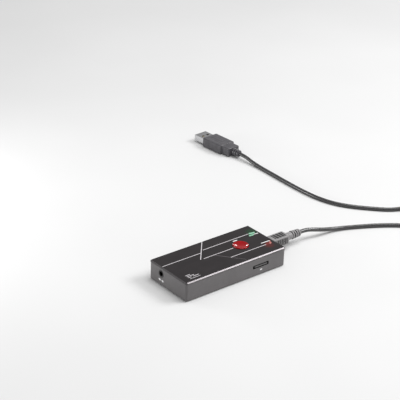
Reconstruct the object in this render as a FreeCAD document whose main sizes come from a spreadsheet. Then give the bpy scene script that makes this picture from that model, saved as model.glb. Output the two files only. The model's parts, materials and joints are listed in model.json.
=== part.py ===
import FreeCAD, Part

import math
import os
import re

import Sketcher

# USB capture recorder: a small flat box with a record button, two status lights, an audio jack, a memory
# card slot and a mini-USB port, and the lead that plugs into that port. Millimetres.
# The frame: +X runs from the jack end to the USB end, the card slot is in the -Y side, +Z is up, and the
# origin is the centre of the box's footprint on the table.

SIZES = [
    # casing
    ("case_length", 86.0, "over the top cover, jack end to USB end"),
    ("case_width", 40.0, "over the top cover, card side to back"),
    ("cover_plate", 1.3, "thickness of the top cover"),
    ("cover_overhang", 0.1, "cover beyond the housing on each side"),
    ("cover_corner", 1.2, "corner radius of the cover"),
    ("cover_bevel", 0.7, "polished bevel round the cover's top edge"),
    ("wall_thickness", 1.8, "side walls of the housing"),
    ("floor_thickness", 1.6, "floor of the housing"),
    ("housing_corner", 1.6, "corner radius outside"),
    ("cavity_corner", 1.2, "corner radius inside"),
    ("base_round", 0.4, "rounding of the bottom edge"),
    ("lip_depth", 1.0, "cover lip that drops inside the walls"),
    ("lip_thickness", 1.0, "cover lip, inside to outside"),
    ("fit_gap", 0.15, "gap between parts that slide together"),
    ("room_over_board", 7.5, "board top to the top of the walls"),
    # feet
    ("foot_proud", 0.6, "feet below the floor"),
    ("foot_recess", 0.5, "recess that holds a foot"),
    ("foot_radius", 3.5, "rubber foot"),
    ("foot_inset_x", 12.75, "foot centre from the housing's end"),
    ("foot_inset_y", 6.25, "foot centre from the housing's side"),
    # screws and the board they clamp
    ("screw_inset", 5.25, "screw centre from the housing's end and side"),
    ("screw_radius", 1.0, "shank"),
    ("screw_head_radius", 1.9, "pan head"),
    ("screw_head_height", 1.1, "pan head"),
    ("screw_bite", 5.0, "shank inside the cover's boss"),
    ("screw_slack", 0.05, "boss bore over the shank"),
    ("screw_clearance", 0.2, "holes over the shank, and counterbore over the head"),
    ("standoff_radius", 3.0, "standoff on the floor"),
    ("standoff_height", 1.8, "floor to the board"),
    ("boss_radius", 2.5, "screw boss under the cover"),
    ("board_thickness", 1.6, "main board"),
    ("board_gap", 0.35, "board edge to the walls"),
    # record button and its switch
    ("button_radius", 5.7, "button"),
    ("button_proud", 0.6, "button rim above the cover"),
    ("button_gap", 0.2, "button to the cover's hole"),
    ("button_dish_radius", 5.0, "edge of the dished face"),
    ("button_dish_depth", 0.8, "middle of the dished face below the rim"),
    ("button_flange", 0.8, "flange that keeps the button in, and its thickness"),
    ("button_stem_radius", 1.6, "stem on the switch"),
    ("button_travel", 0.5, "press"),
    ("button_from_end", 23.6, "button centre from the cover's USB end"),
    ("button_from_front", 19.9, "button centre from the cover's card side"),
    ("collar_depth", 2.5, "collar under the cover round the button"),
    ("collar_wall", 1.0, "collar"),
    ("switch_side", 6.0, "tact switch"),
    ("switch_base_height", 2.2, "tact switch body"),
    ("switch_floor", 0.6, "tact switch body under its dome"),
    ("switch_well_radius", 2.2, "well in the tact switch body"),
    ("switch_lid", 0.3, "steel lid of the tact switch"),
    ("plunger_radius", 1.7, "tact switch plunger"),
    ("plunger_flange", 0.25, "plunger flange beyond its shank"),
    ("plunger_proud", 0.8, "plunger above the lid"),
    ("dome_height", 0.35, "snap dome"),
    ("dome_gauge", 0.1, "snap dome sheet"),
    # status lights
    ("light_from_lip", 3.6, "light centre from the cover's lip at the USB end"),
    ("green_place", 0.494, "green light centre, as a share of the way from the port to the screw boss"),
    ("red_place", 0.61, "red light centre, the same on the card side"),
    ("light_length", 3.6, "window along the box"),
    ("light_width", 3.0, "window across the box"),
    ("light_slant", 2.2, "shift of the window's back edge towards the USB end"),
    ("light_flange", 0.3, "light pipe flange beyond the window"),
    ("light_flange_height", 0.5, "light pipe flange"),
    ("light_gap", 0.1, "light pipe to the cover"),
    ("led_length", 2.2, "surface-mount lamp"),
    ("led_width", 1.8, "surface-mount lamp"),
    ("led_height", 0.9, "surface-mount lamp"),
    # chips and cans on the board
    ("lead_rise", 0.15, "chips above the board, on their leads"),
    ("lead_width", 0.3, "flat leads of the chips"),
    ("lead_reach", 0.9, "flat leads of the chips"),
    ("can_radius", 2.5, "electrolytic capacitors"),
    ("can_height", 5.2, "electrolytic capacitors, above their base"),
    ("can_base", 0.5, "base of an electrolytic capacitor"),
    ("inductor_side", 5.0, "power inductor"),
    ("inductor_height", 2.8, "power inductor"),
    ("inductor_groove", 0.4, "depth of the groove round its winding"),
    ("inductor_hub", 1.6, "radius inside that groove"),
    # jack
    ("jack_from_back", 12.7, "jack axis from the cover's back"),
    ("jack_axis_height", 3.6, "jack axis above the board"),
    ("jack_bore_radius", 1.8, "jack bore for a 3.5 mm plug"),
    ("jack_bezel_radius", 2.6, "ring in the end wall"),
    ("jack_bezel_proud", 0.1, "ring beyond the wall"),
    ("jack_body_length", 13.0, "jack body"),
    ("jack_body_width", 6.4, "jack body"),
    ("jack_crown", 0.5, "jack body above its bore"),
    ("jack_bore_depth", 11.5, "bore inside the body"),
    ("jack_contact_gauge", 0.25, "contact springs"),
    ("jack_window_rise", 0.4, "top and bottom of the side windows from the jack's axis"),
    ("jack_leaf_rise", 0.3, "top and bottom of the contact leaves from the jack's axis"),
    ("jack_leaf_gap", 0.2, "contact leaves to the bore and to the ends of their windows"),
    ("jack_leg_width", 1.2, "legs of the contacts"),
    # card slot
    ("card_from_end", 22.0, "card centre from the cover's USB end"),
    ("card_width", 11.0, "memory card"),
    ("card_length", 15.0, "memory card"),
    ("card_thickness", 0.7, "memory card"),
    ("card_proud", 0.25, "card beyond the wall"),
    ("card_play", 0.12, "card to its socket"),
    ("card_push", 0.8, "extra push that frees the card"),
    ("card_slot_length", 13.8, "slot in the wall"),
    ("card_slot_height", 2.6, "slot in the wall"),
    ("socket_base_height", 1.3, "card socket under the card"),
    ("socket_rail", 1.9, "card socket beside the card"),
    ("socket_stop", 0.8, "card socket behind the card"),
    ("socket_sheet", 0.2, "card socket's steel shell"),
    ("card_contact_width", 0.6, "contacts under the card"),
    ("card_contact_length", 3.5, "contacts under the card"),
    ("card_contact_inset", 0.5, "end of those contacts to the socket's stop"),
    ("card_shoulder", 8.4, "front of the card that has its full width"),
    ("card_step", 1.2, "step in the card's side behind that"),
    ("slider_length", 4.0, "push-push slider beside the card"),
    ("spring_room", 2.4, "room for the slider's spring when the card is in"),
    ("spring_wire", 0.1, "radius of the spring's wire"),
    # USB port
    ("usb_offset", 0.3, "port centre from the box's middle, towards the back"),
    ("receptacle_width", 7.7, "outside of the steel shell"),
    ("receptacle_height", 3.9, "outside of the steel shell"),
    ("receptacle_length", 9.2, "steel shell"),
    ("receptacle_sheet", 0.3, "steel shell"),
    ("port_gap", 0.25, "wall opening round the receptacle"),
    ("tongue_width", 3.8, "contact tongue"),
    ("tongue_height", 0.7, "contact tongue"),
    ("tongue_length", 6.6, "contact tongue"),
    ("tongue_root", 1.0, "contact tongue inside its block"),
    ("contact_gauge", 0.08, "contact strips"),
    ("contact_width", 0.4, "contact strips"),
    # lead, recorder end
    ("plug_reach", 6.5, "plug shell beyond its overmould"),
    ("plug_play", 0.15, "plug shell inside the receptacle"),
    ("plug_sheet", 0.25, "plug shell"),
    ("plug_gap", 0.15, "overmould to the housing"),
    ("plug_grip_length", 19.6, "overmould"),
    ("plug_grip_width", 9.0, "overmould"),
    ("plug_grip_height", 7.0, "overmould"),
    ("plug_grip_round", 1.3, "overmould edges"),
    ("boot_length", 12.0, "strain relief at the recorder"),
    ("boot_big_radius", 2.9, "strain relief at the overmould"),
    ("boot_small_radius", 2.2, "strain relief at the cord"),
    ("boot_rib", 0.35, "ribs of both strain reliefs"),
    # lead, cord
    ("cord_radius", 1.5, "cord"),
    ("coil_inner_radius", 12.5, "hand-wound coil, inside"),
    ("coil_outer_radius", 21.5, "hand-wound coil, outside"),
    ("coil_crown_width", 3.2, "flat on top of the coil"),
    ("coil_height", 8.4, "coil"),
    ("cord_lead_out", 6.5, "straight cord at each strain relief"),
    ("coil_x", 144.3, "coil centre beyond the cover's USB end"),
    ("coil_y", -42.4, "coil centre"),
    ("tie_width", 4.0, "band round the coil"),
    ("tie_thickness", 0.5, "band round the coil"),
    # lead, computer end
    ("host_plug_x", 89.24, "strain relief end beyond the cover's USB end"),
    ("host_plug_y", 134.4, "strain relief end"),
    ("host_heading", 93.4, "direction of the plug from +X, degrees"),
    ("host_boot_length", 7.5, "strain relief"),
    ("host_boot_big_radius", 3.0, "strain relief at the overmould"),
    ("host_neck_length", 8.0, "narrow block of the overmould"),
    ("host_neck_width", 12.0, "narrow block of the overmould"),
    ("host_neck_height", 7.0, "narrow block of the overmould"),
    ("host_grip_length", 21.0, "overmould"),
    ("host_grip_width", 15.6, "overmould"),
    ("host_grip_height", 8.0, "overmould"),
    ("host_shell_length", 12.0, "steel shell"),
    ("host_shell_width", 12.0, "steel shell"),
    ("host_shell_height", 4.5, "steel shell"),
    ("host_sheet", 0.3, "steel shell"),
    ("host_latch_length", 2.0, "latch holes in the steel shell"),
    ("host_latch_width", 2.5, "latch holes in the steel shell"),
    ("host_latch_offset", 2.4, "latch holes from the plug's middle"),
    ("host_latch_reach", 5.4, "latch holes from the overmould"),
    ("host_contact_width", 1.0, "contact strips"),
    ("host_contact_gauge", 0.1, "contact strips"),
]

# Route of the cord from the recorder's strain relief to the coil, and from the coil to the other strain
# relief. X is counted from the cover's USB end. A straight run at each strain relief comes before and after.
DEVICE_ROUTE = [
    (45.0, -1.4, 6.3),
    (53.0, -2.4, 4.2),
    (62.0, -2.8, 2.3),
    (72.0, -5.6, 1.5),
    (82.0, -10.4, 1.5),
    (92.0, -15.6, 1.5),
    (100.5, -20.8, 1.5),
    (109.0, -27.2, 1.5),
    (115.2, -34.6, 1.5),
    (120.4, -42.5, 1.5),
]
HOST_ROUTE = [
    (143.0, -19.1, 4.2),
    (135.8, -13.2, 2.9),
    (128.1, -7.8, 1.5),
    (120.1, -4.2, 1.5),
    (112.1, 3.4, 1.5),
    (104.1, 11.7, 1.5),
    (97.1, 20.5, 1.5),
    (91.7, 30.9, 1.5),
    (88.7, 44.1, 1.5),
    (87.9, 59.3, 1.5),
    (88.2, 76.9, 1.5),
    (89.0, 94.5, 1.5),
    (89.5, 109.2, 1.5),
    (89.6, 119.0, 2.3),
]
ARC_SHARE = 0.45  # part of the shorter run that each bend of the cord takes up
STUB_LENGTH = 14.0  # each end of the winding that stands out of the coil

# The chips: label, centre on the board, length, width and height of the body.
CHIPS = [
    ("capture_processor", -12.0, -3.0, 10.0, 10.0, 1.4),
    ("memory_chip", 1.5, -4.0, 8.0, 11.0, 1.1),
    ("flash_chip", 0.0, 9.5, 5.0, 4.0, 1.5),
]
# Rows of leads on two opposite sides: the chip, leads in a row, pitch, and whether they point along Y.
LEAD_ROWS = [
    ("capture_processor", 11, 0.8, True),
    ("capture_processor", 11, 0.8, False),
    ("memory_chip", 9, 0.8, True),
    ("flash_chip", 4, 1.1, True),
]
CAN_SPOTS = [("-23", "-9"), ("-23", "-2.5")]
INDUCTOR_SPOT = ("-12", "10")
REGULATOR_SPOT = ("9", "10.5")
REGULATOR_TAB_SPOT = ("9", "12.7")
CRYSTAL_SPOT = ("-5.5", "5.5")
PASSIVE_COUNT = 8
PASSIVE_START = -19.0
PASSIVE_PITCH = 2.4
CAPACITOR_ROW = "-12.2"
RESISTOR_ROW = "13.5"
CARD_CONTACTS = 8
CARD_PITCH = 1.1
SPRING_TURNS = 5
USB_CONTACTS = 5
USB_PITCH = 0.7
HOST_CONTACT_SPOTS = (-3.5, -1.0, 1.0, 3.5)
DEVICE_BOOT_RIBS = 3
HOST_BOOT_RIBS = 3

WORDS = {word for word, _, _ in SIZES}
V = FreeCAD.Vector
NEAR = 1e-4

doc = FreeCAD.newDocument("Recorder")
subparts = []


# ------------------------------------------------------------------ the sheet and expressions of it

def make_sheet():
    sheet = doc.addObject("Spreadsheet::Sheet", "Sizes")
    for row, (word, number, remark) in enumerate(SIZES, start=1):
        sheet.set(f"A{row}", word)
        sheet.set(f"B{row}", str(number))
        sheet.set(f"C{row}", remark)
        sheet.setAlias(f"B{row}", word)
    doc.recompute()
    return sheet


sheet = make_sheet()


def size(word):
    """The number in one of the sheet's cells."""
    return float(getattr(sheet, word))


def sized(text):
    """An expression in which each of the sheet's words carries the sheet's name."""
    def with_sheet(match):
        word = match.group()
        return f"Sizes.{word}" if word in WORDS else word
    return re.sub(r"[a-z]+(?:_[a-z]+)*", with_sheet, str(text))


HOUSING_LENGTH = "(case_length - 2 * cover_overhang)"
HOUSING_WIDTH = "(case_width - 2 * cover_overhang)"
CAVITY_LENGTH = f"({HOUSING_LENGTH} - 2 * wall_thickness)"
CAVITY_WIDTH = f"({HOUSING_WIDTH} - 2 * wall_thickness)"
FLOOR_TOP = "(foot_proud + floor_thickness)"
BOARD_UNDER = f"({FLOOR_TOP} + standoff_height)"
BOARD_TOP = f"({BOARD_UNDER} + board_thickness)"
HOUSING_TOP = f"({BOARD_TOP} + room_over_board)"
CASE_TOP = f"({HOUSING_TOP} + cover_plate)"
SCREW_X = f"({HOUSING_LENGTH} / 2 - screw_inset)"
SCREW_Y = f"({HOUSING_WIDTH} / 2 - screw_inset)"
HEAD_SEAT = "(foot_proud + screw_head_height + screw_clearance)"
BUTTON_X = "(case_length / 2 - button_from_end)"
BUTTON_Y = "(button_from_front - case_width / 2)"
COLLAR_UNDER = f"({HOUSING_TOP} - collar_depth)"
BUTTON_HOLE = "(button_radius + button_gap)"
SWITCH_TOP = f"({BOARD_TOP} + switch_base_height + switch_lid)"
LIGHT_X = f"({CAVITY_LENGTH} / 2 - fit_gap - lip_thickness - light_from_lip)"
BOSS_SIDE = f"({SCREW_Y} - boss_radius)"
PORT_BACK = "(receptacle_width / 2 + usb_offset)"
PORT_FRONT = "(receptacle_width / 2 - usb_offset)"
GREEN_Y = f"({PORT_BACK} + green_place * ({BOSS_SIDE} - {PORT_BACK}))"
RED_Y = f"-({PORT_FRONT} + red_place * ({BOSS_SIDE} - {PORT_FRONT}))"
JACK_X = f"(-{CAVITY_LENGTH} / 2 + fit_gap)"
JACK_Y = "(case_width / 2 - jack_from_back)"
JACK_Z = f"({BOARD_TOP} + jack_axis_height)"
JACK_MIDDLE = f"({JACK_X} + jack_bore_depth * 0.55)"
CARD_X = "(case_length / 2 - card_from_end)"
CARD_FRONT = f"(-{HOUSING_WIDTH} / 2 - card_proud)"
CARD_UNDER = f"({BOARD_TOP} + socket_base_height + card_play)"
SOCKET_FRONT = f"(-{CAVITY_WIDTH} / 2 + board_gap)"
SOCKET_STOP = f"({CARD_FRONT} + card_length + card_push + fit_gap)"
SOCKET_BACK = f"({SOCKET_STOP} + socket_stop)"
SOCKET_WIDTH = "(card_width + 2 * card_play + 2 * socket_rail)"
SOCKET_ROOF = f"({CARD_UNDER} + card_thickness + card_play)"
PORT_FACE = f"({HOUSING_LENGTH} / 2)"
PORT_Z = f"({BOARD_TOP} + receptacle_height / 2)"
PLUG_FACE = f"({PORT_FACE} + plug_gap)"
PLUG_WIDTH = "(receptacle_width - 2 * receptacle_sheet - 2 * plug_play)"
PLUG_HEIGHT = "(receptacle_height - 2 * receptacle_sheet - 2 * plug_play)"
BOOT_FACE = f"({PLUG_FACE} + plug_grip_length)"
HOST_FACE = "(host_boot_length + host_neck_length + host_grip_length)"


# ------------------------------------------------------------------ drawing helpers

def bind(thing, **sizes):
    for name, text in sizes.items():
        thing.setExpression(name, sized(text))


def move(thing, x, y, z):
    for axis, text in zip("xyz", (x, y, z)):
        thing.setExpression(f".Placement.Base.{axis}", sized(text))


def less_half(centre, length):
    """Where something of this length starts when it is centred there."""
    return f"{centre} - ({length}) / 2"


def named(thing, label):
    thing.Label = label
    subparts.append(thing)
    return thing


def block(low, lengths):
    box = doc.addObject("Part::Box", "Block")
    bind(box, Length=lengths[0], Width=lengths[1], Height=lengths[2])
    move(box, *low)
    return box


def centred_block(centre, bottom, lengths):
    """A box centred on (x, y) that stands on the given height."""
    low = (less_half(centre[0], lengths[0]), less_half(centre[1], lengths[1]), bottom)
    return block(low, lengths)


TURNS = {
    "+Z": FreeCAD.Rotation(),
    "+X": FreeCAD.Rotation(V(0, 1, 0), 90),
}


def rod(start, radius, length, along="+Z"):
    cylinder = doc.addObject("Part::Cylinder", "Rod")
    cylinder.Placement = FreeCAD.Placement(V(), TURNS[along])
    bind(cylinder, Radius=radius, Height=length)
    move(cylinder, *start)
    return cylinder


def taper(start, first_radius, last_radius, length, along="+Z"):
    cone = doc.addObject("Part::Cone", "Taper")
    cone.Placement = FreeCAD.Placement(V(), TURNS[along])
    bind(cone, Radius1=first_radius, Radius2=last_radius, Height=length)
    move(cone, *start)
    return cone


def fused(pieces):
    fusion = doc.addObject("Part::MultiFuse", "Fusion")
    fusion.Shapes = pieces
    return fusion


def cut(base, tool):
    removal = doc.addObject("Part::Cut", "Cut")
    removal.Base = base
    removal.Tool = tool
    return removal


def group(pieces):
    """Separate solids that share one node."""
    compound = doc.addObject("Part::Compound", "Group")
    compound.Links = pieces
    return compound


def four_corners(x, y):
    return [(f"{sx} * {x}", f"{sy} * {y}") for sx in (-1, 1) for sy in (-1, 1)]


def new_body(label):
    body = doc.addObject("PartDesign::Body", label)
    return named(body, label)


def sketch(body, role, at):
    """An empty sketch on one of the body's own origin planes, shifted in the sketch's axes."""
    drawing = body.newObject("Sketcher::SketchObject", f"{body.Name}_sketch")
    origin_plane = next(item for item in body.Origin.OriginFeatures if item.Role == role)
    drawing.AttachmentSupport = [(origin_plane, "")]
    drawing.MapMode = "FlatFace"
    for axis, text in zip("xyz", at):
        drawing.setExpression(f".AttachmentOffset.Base.{axis}", sized(text))
    return drawing


def limit(drawing, constraint, text):
    index = drawing.addConstraint(constraint)
    drawing.setExpression(f"Constraints[{index}]", sized(text))


def outline(drawing, corners):
    """A closed outline of straight lines. Each corner is a pair of expressions."""
    first = drawing.GeometryCount
    count = len(corners)
    spots = [V(math.cos(2 * math.pi * i / count), math.sin(2 * math.pi * i / count), 0) for i in range(count)]
    for i in range(count):
        drawing.addGeometry(Part.LineSegment(spots[i], spots[(i + 1) % count]), False)
    for i, (x, y) in enumerate(corners):
        line = first + i
        drawing.addConstraint(Sketcher.Constraint("Coincident", line, 2, first + (i + 1) % count, 1))
        limit(drawing, Sketcher.Constraint("DistanceX", line, 1, spots[i].x), x)
        limit(drawing, Sketcher.Constraint("DistanceY", line, 1, spots[i].y), y)


def rectangle(drawing, length, width, x="0", y="0"):
    left, right = less_half(x, length), f"{x} + ({length}) / 2"
    low, high = less_half(y, width), f"{y} + ({width}) / 2"
    outline(drawing, [(left, low), (right, low), (right, high), (left, high)])


def slanted_window(drawing, margin, y="0"):
    """The outline of a status light, grown by a margin on every side."""
    half_length = f"(light_length / 2 + {margin})"
    half_width = f"(light_width / 2 + {margin})"
    shift = f"(light_slant * {half_width} / light_width)"
    low, high = f"{y} - {half_width}", f"{y} + {half_width}"
    outline(drawing, [
        (f"-{half_length} - {shift}", low), (f"{half_length} - {shift}", low),
        (f"{half_length} + {shift}", high), (f"{shift} - {half_length}", high),
    ])


def circle(drawing, radius, x="0", y="0"):
    index = drawing.addGeometry(Part.Circle(V(), V(0, 0, 1), 1), False)
    limit(drawing, Sketcher.Constraint("Radius", index, 1), radius)
    limit(drawing, Sketcher.Constraint("DistanceX", index, 3, 0), x)
    limit(drawing, Sketcher.Constraint("DistanceY", index, 3, 0), y)


def volume_of(body):
    return 0.0 if body.Shape.isNull() else body.Shape.Volume


def pad(body, drawing, length, reverse=False):
    before = volume_of(body)
    feature = body.newObject("PartDesign::Pad", f"{body.Name}_pad")
    feature.Profile = drawing
    feature.Reversed = reverse
    bind(feature, Length=length)
    doc.recompute()
    assert volume_of(body) > before, f"a pad of {body.Label} adds nothing"


def pocket(body, drawing, length, reverse=False):
    before = volume_of(body)
    feature = body.newObject("PartDesign::Pocket", f"{body.Name}_pocket")
    feature.Profile = drawing
    feature.Reversed = reverse
    bind(feature, Length=length)
    doc.recompute()
    assert volume_of(body) < before, f"a pocket of {body.Label} cuts nothing"


def dress(body, kind, radius, choose):
    """A fillet or chamfer on the edges that choose() picks from the body's tip."""
    base = body.Tip
    edges = [f"Edge{i}" for i, edge in enumerate(base.Shape.Edges, start=1) if choose(edge)]
    feature = body.newObject(f"PartDesign::{kind}", f"{body.Name}_{kind.lower()}")
    feature.Base = (base, edges)
    bind(feature, **{"Radius" if kind == "Fillet" else "Size": radius})
    doc.recompute()


def same(a, b):
    return abs(a - b) < NEAR


def upright(edge):
    box = edge.BoundBox
    return same(box.XLength, 0) and same(box.YLength, 0)


def along_x(edge):
    box = edge.BoundBox
    return same(box.YLength, 0) and same(box.ZLength, 0)


def level(height):
    return lambda edge: same(edge.BoundBox.ZMin, height) and same(edge.BoundBox.ZMax, height)


def top_of(body):
    return max(vertex.Z for vertex in body.Shape.Vertexes)


def bottom_of(body):
    return min(vertex.Z for vertex in body.Shape.Vertexes)


def standing_at(half_length):
    """Picks the upright edges at this distance either side of the middle."""
    return lambda edge: upright(edge) and same(abs(edge.BoundBox.XMin), half_length)


def screw_spots(drawing, radius):
    for x, y in four_corners(SCREW_X, SCREW_Y):
        circle(drawing, radius, x, y)


def foot_spots():
    return four_corners(f"({HOUSING_LENGTH} / 2 - foot_inset_x)", f"({HOUSING_WIDTH} / 2 - foot_inset_y)")


# ------------------------------------------------------------------ casing

def make_housing():
    body = new_body("housing")
    drawing = sketch(body, "XY_Plane", ("0", "0", "foot_proud"))
    rectangle(drawing, HOUSING_LENGTH, HOUSING_WIDTH)
    pad(body, drawing, f"{HOUSING_TOP} - foot_proud")
    dress(body, "Fillet", "housing_corner", upright)
    dress(body, "Fillet", "base_round", level(bottom_of(body)))
    hollow_housing(body)
    add_standoffs(body)
    cut_ports(body)


def hollow_housing(body):
    drawing = sketch(body, "XY_Plane", ("0", "0", HOUSING_TOP))
    rectangle(drawing, CAVITY_LENGTH, CAVITY_WIDTH)
    pocket(body, drawing, f"{HOUSING_TOP} - {FLOOR_TOP}")
    half_cavity = size("case_length") / 2 - size("cover_overhang") - size("wall_thickness")
    dress(body, "Fillet", "cavity_corner", standing_at(half_cavity))


def add_standoffs(body):
    drawing = sketch(body, "XY_Plane", ("0", "0", FLOOR_TOP))
    screw_spots(drawing, "standoff_radius")
    pad(body, drawing, "standoff_height")
    drawing = sketch(body, "XY_Plane", ("0", "0", BOARD_UNDER))
    screw_spots(drawing, "screw_radius + screw_clearance")
    pocket(body, drawing, BOARD_UNDER)
    drawing = sketch(body, "XY_Plane", ("0", "0", "foot_proud"))
    screw_spots(drawing, "screw_head_radius + screw_clearance")
    pocket(body, drawing, f"{HEAD_SEAT} - foot_proud", reverse=True)
    drawing = sketch(body, "XY_Plane", ("0", "0", "foot_proud"))
    for x, y in foot_spots():
        circle(drawing, "foot_radius", x, y)
    pocket(body, drawing, "foot_recess", reverse=True)


def cut_ports(body):
    drawing = sketch(body, "YZ_Plane", ("usb_offset", PORT_Z, PORT_FACE))
    rectangle(drawing, "receptacle_width + 2 * port_gap", "receptacle_height + 2 * port_gap")
    pocket(body, drawing, "wall_thickness")
    drawing = sketch(body, "YZ_Plane", (JACK_Y, JACK_Z, f"-{HOUSING_LENGTH} / 2"))
    circle(drawing, "jack_bezel_radius + light_gap")
    pocket(body, drawing, "wall_thickness", reverse=True)
    slot_z = f"{CARD_UNDER} + card_thickness / 2"
    drawing = sketch(body, "XZ_Plane", (CARD_X, slot_z, f"{HOUSING_WIDTH} / 2"))
    rectangle(drawing, "card_slot_length", "card_slot_height")
    pocket(body, drawing, "wall_thickness")


def make_top_cover():
    body = new_body("top_cover")
    drawing = sketch(body, "XY_Plane", ("0", "0", HOUSING_TOP))
    rectangle(drawing, "case_length", "case_width")
    pad(body, drawing, "cover_plate")
    dress(body, "Fillet", "cover_corner", upright)
    dress(body, "Chamfer", "cover_bevel", level(top_of(body)))
    add_lip(body)
    add_bosses(body)
    cut_cover_openings(body)


def add_lip(body):
    lip_length = f"({CAVITY_LENGTH} - 2 * fit_gap)"
    lip_width = f"({CAVITY_WIDTH} - 2 * fit_gap)"
    drawing = sketch(body, "XY_Plane", ("0", "0", HOUSING_TOP))
    rectangle(drawing, lip_length, lip_width)
    rectangle(drawing, f"{lip_length} - 2 * lip_thickness", f"{lip_width} - 2 * lip_thickness")
    pad(body, drawing, "lip_depth", reverse=True)
    half_lip = size("case_length") / 2 - size("cover_overhang") - size("wall_thickness") - size("fit_gap")
    dress(body, "Fillet", "cavity_corner", standing_at(half_lip))
    # The lip is left out over the jack, which stands nearly as high as the walls.
    drawing = sketch(body, "XY_Plane", (f"-{lip_length} / 2 + lip_thickness / 2", JACK_Y, HOUSING_TOP))
    rectangle(drawing, "2 * lip_thickness", "jack_body_width + 4 * fit_gap")
    pocket(body, drawing, "lip_depth + board_gap")


def add_bosses(body):
    drawing = sketch(body, "XY_Plane", ("0", "0", HOUSING_TOP))
    screw_spots(drawing, "boss_radius")
    pad(body, drawing, "room_over_board", reverse=True)
    drawing = sketch(body, "XY_Plane", ("0", "0", BOARD_TOP))
    screw_spots(drawing, "screw_radius + screw_slack")
    pocket(body, drawing, "screw_bite + screw_clearance", reverse=True)
    drawing = sketch(body, "XY_Plane", (BUTTON_X, BUTTON_Y, HOUSING_TOP))
    circle(drawing, f"{BUTTON_HOLE} + collar_wall")
    pad(body, drawing, "collar_depth", reverse=True)


def cut_cover_openings(body):
    drawing = sketch(body, "XY_Plane", (BUTTON_X, BUTTON_Y, CASE_TOP))
    circle(drawing, BUTTON_HOLE)
    pocket(body, drawing, "cover_plate + collar_depth")
    drawing = sketch(body, "XY_Plane", (LIGHT_X, "0", CASE_TOP))
    for y in (GREEN_Y, RED_Y):
        slanted_window(drawing, "light_gap", y)
    pocket(body, drawing, "cover_plate")


def make_cover_screws():
    screws = []
    for x, y in four_corners(SCREW_X, SCREW_Y):
        head = rod((x, y, f"{HEAD_SEAT} - screw_head_height"), "screw_head_radius", "screw_head_height")
        shank_length = f"{BOARD_TOP} + screw_bite - {HEAD_SEAT}"
        shank = rod((x, y, HEAD_SEAT), "screw_radius", shank_length)
        recess_bottom = f"{HEAD_SEAT} - screw_head_height"
        arm_depth = "screw_head_height / 2"
        arms = [
            centred_block((x, y), recess_bottom, ("screw_head_radius", "screw_radius / 3", arm_depth)),
            centred_block((x, y), recess_bottom, ("screw_radius / 3", "screw_head_radius", arm_depth)),
        ]
        screws.append(cut(fused([head, shank]), fused(arms)))
    named(group(screws), "cover_screws")


def make_rubber_feet():
    feet = []
    for x, y in foot_spots():
        chamfer = "foot_proud / 3"
        tip = taper((x, y, "0"), f"foot_radius - {chamfer}", "foot_radius", chamfer)
        pad_part = rod((x, y, chamfer), "foot_radius", f"foot_proud + foot_recess - {chamfer}")
        feet.append(fused([tip, pad_part]))
    named(group(feet), "rubber_feet")


# ------------------------------------------------------------------ record button, switch and lights

def make_button_cap():
    top = f"({CASE_TOP} + button_proud)"
    flange_bottom = f"({COLLAR_UNDER} - fit_gap - button_flange)"
    plunger_top = f"({SWITCH_TOP} + plunger_proud)"
    body = new_body("button_cap")
    drawing = sketch(body, "XY_Plane", (BUTTON_X, BUTTON_Y, flange_bottom))
    circle(drawing, "button_radius + button_flange")
    pad(body, drawing, "button_flange")
    drawing = sketch(body, "XY_Plane", (BUTTON_X, BUTTON_Y, flange_bottom))
    circle(drawing, "button_radius")
    pad(body, drawing, f"{top} - {flange_bottom}")
    drawing = sketch(body, "XY_Plane", (BUTTON_X, BUTTON_Y, flange_bottom))
    circle(drawing, "button_stem_radius")
    pad(body, drawing, f"{flange_bottom} - {plunger_top}", reverse=True)
    dress(body, "Fillet", "button_gap", level(top_of(body)))
    dish_button(body, top)


def dish_button(body, top):
    """The dished face is a part of a sphere, turned about the button's axis."""
    ball = "((button_dish_radius ^ 2 + button_dish_depth ^ 2) / (2 * button_dish_depth))"
    drawing = sketch(body, "XZ_Plane", (BUTTON_X, f"{top} + {ball} - button_dish_depth", f"-{BUTTON_Y}"))
    edge, depth = size("button_dish_radius"), size("button_dish_depth")
    radius = (edge ** 2 + depth ** 2) / (2 * depth)
    arc = Part.ArcOfCircle(Part.Circle(V(), V(0, 0, 1), radius), -math.pi / 2, math.pi / 2)
    drawing.addGeometry(arc, False)
    drawing.addGeometry(Part.LineSegment(V(0, radius, 0), V(0, -radius, 0)), False)
    drawing.addConstraint(Sketcher.Constraint("Coincident", 0, 2, 1, 1))
    drawing.addConstraint(Sketcher.Constraint("Coincident", 0, 1, 1, 2))
    drawing.addConstraint(Sketcher.Constraint("Coincident", 0, 3, -1, 1))
    drawing.addConstraint(Sketcher.Constraint("PointOnObject", 1, 1, -2))
    drawing.addConstraint(Sketcher.Constraint("PointOnObject", 1, 2, -2))
    limit(drawing, Sketcher.Constraint("Radius", 0, radius), ball)
    before = body.Shape.Volume
    groove = body.newObject("PartDesign::Groove", "button_dish")
    groove.Profile = drawing
    groove.ReferenceAxis = (drawing, ["V_Axis"])
    groove.Angle = 360
    doc.recompute()
    assert body.Shape.Volume < before, "the button's dish cuts nothing"


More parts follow.
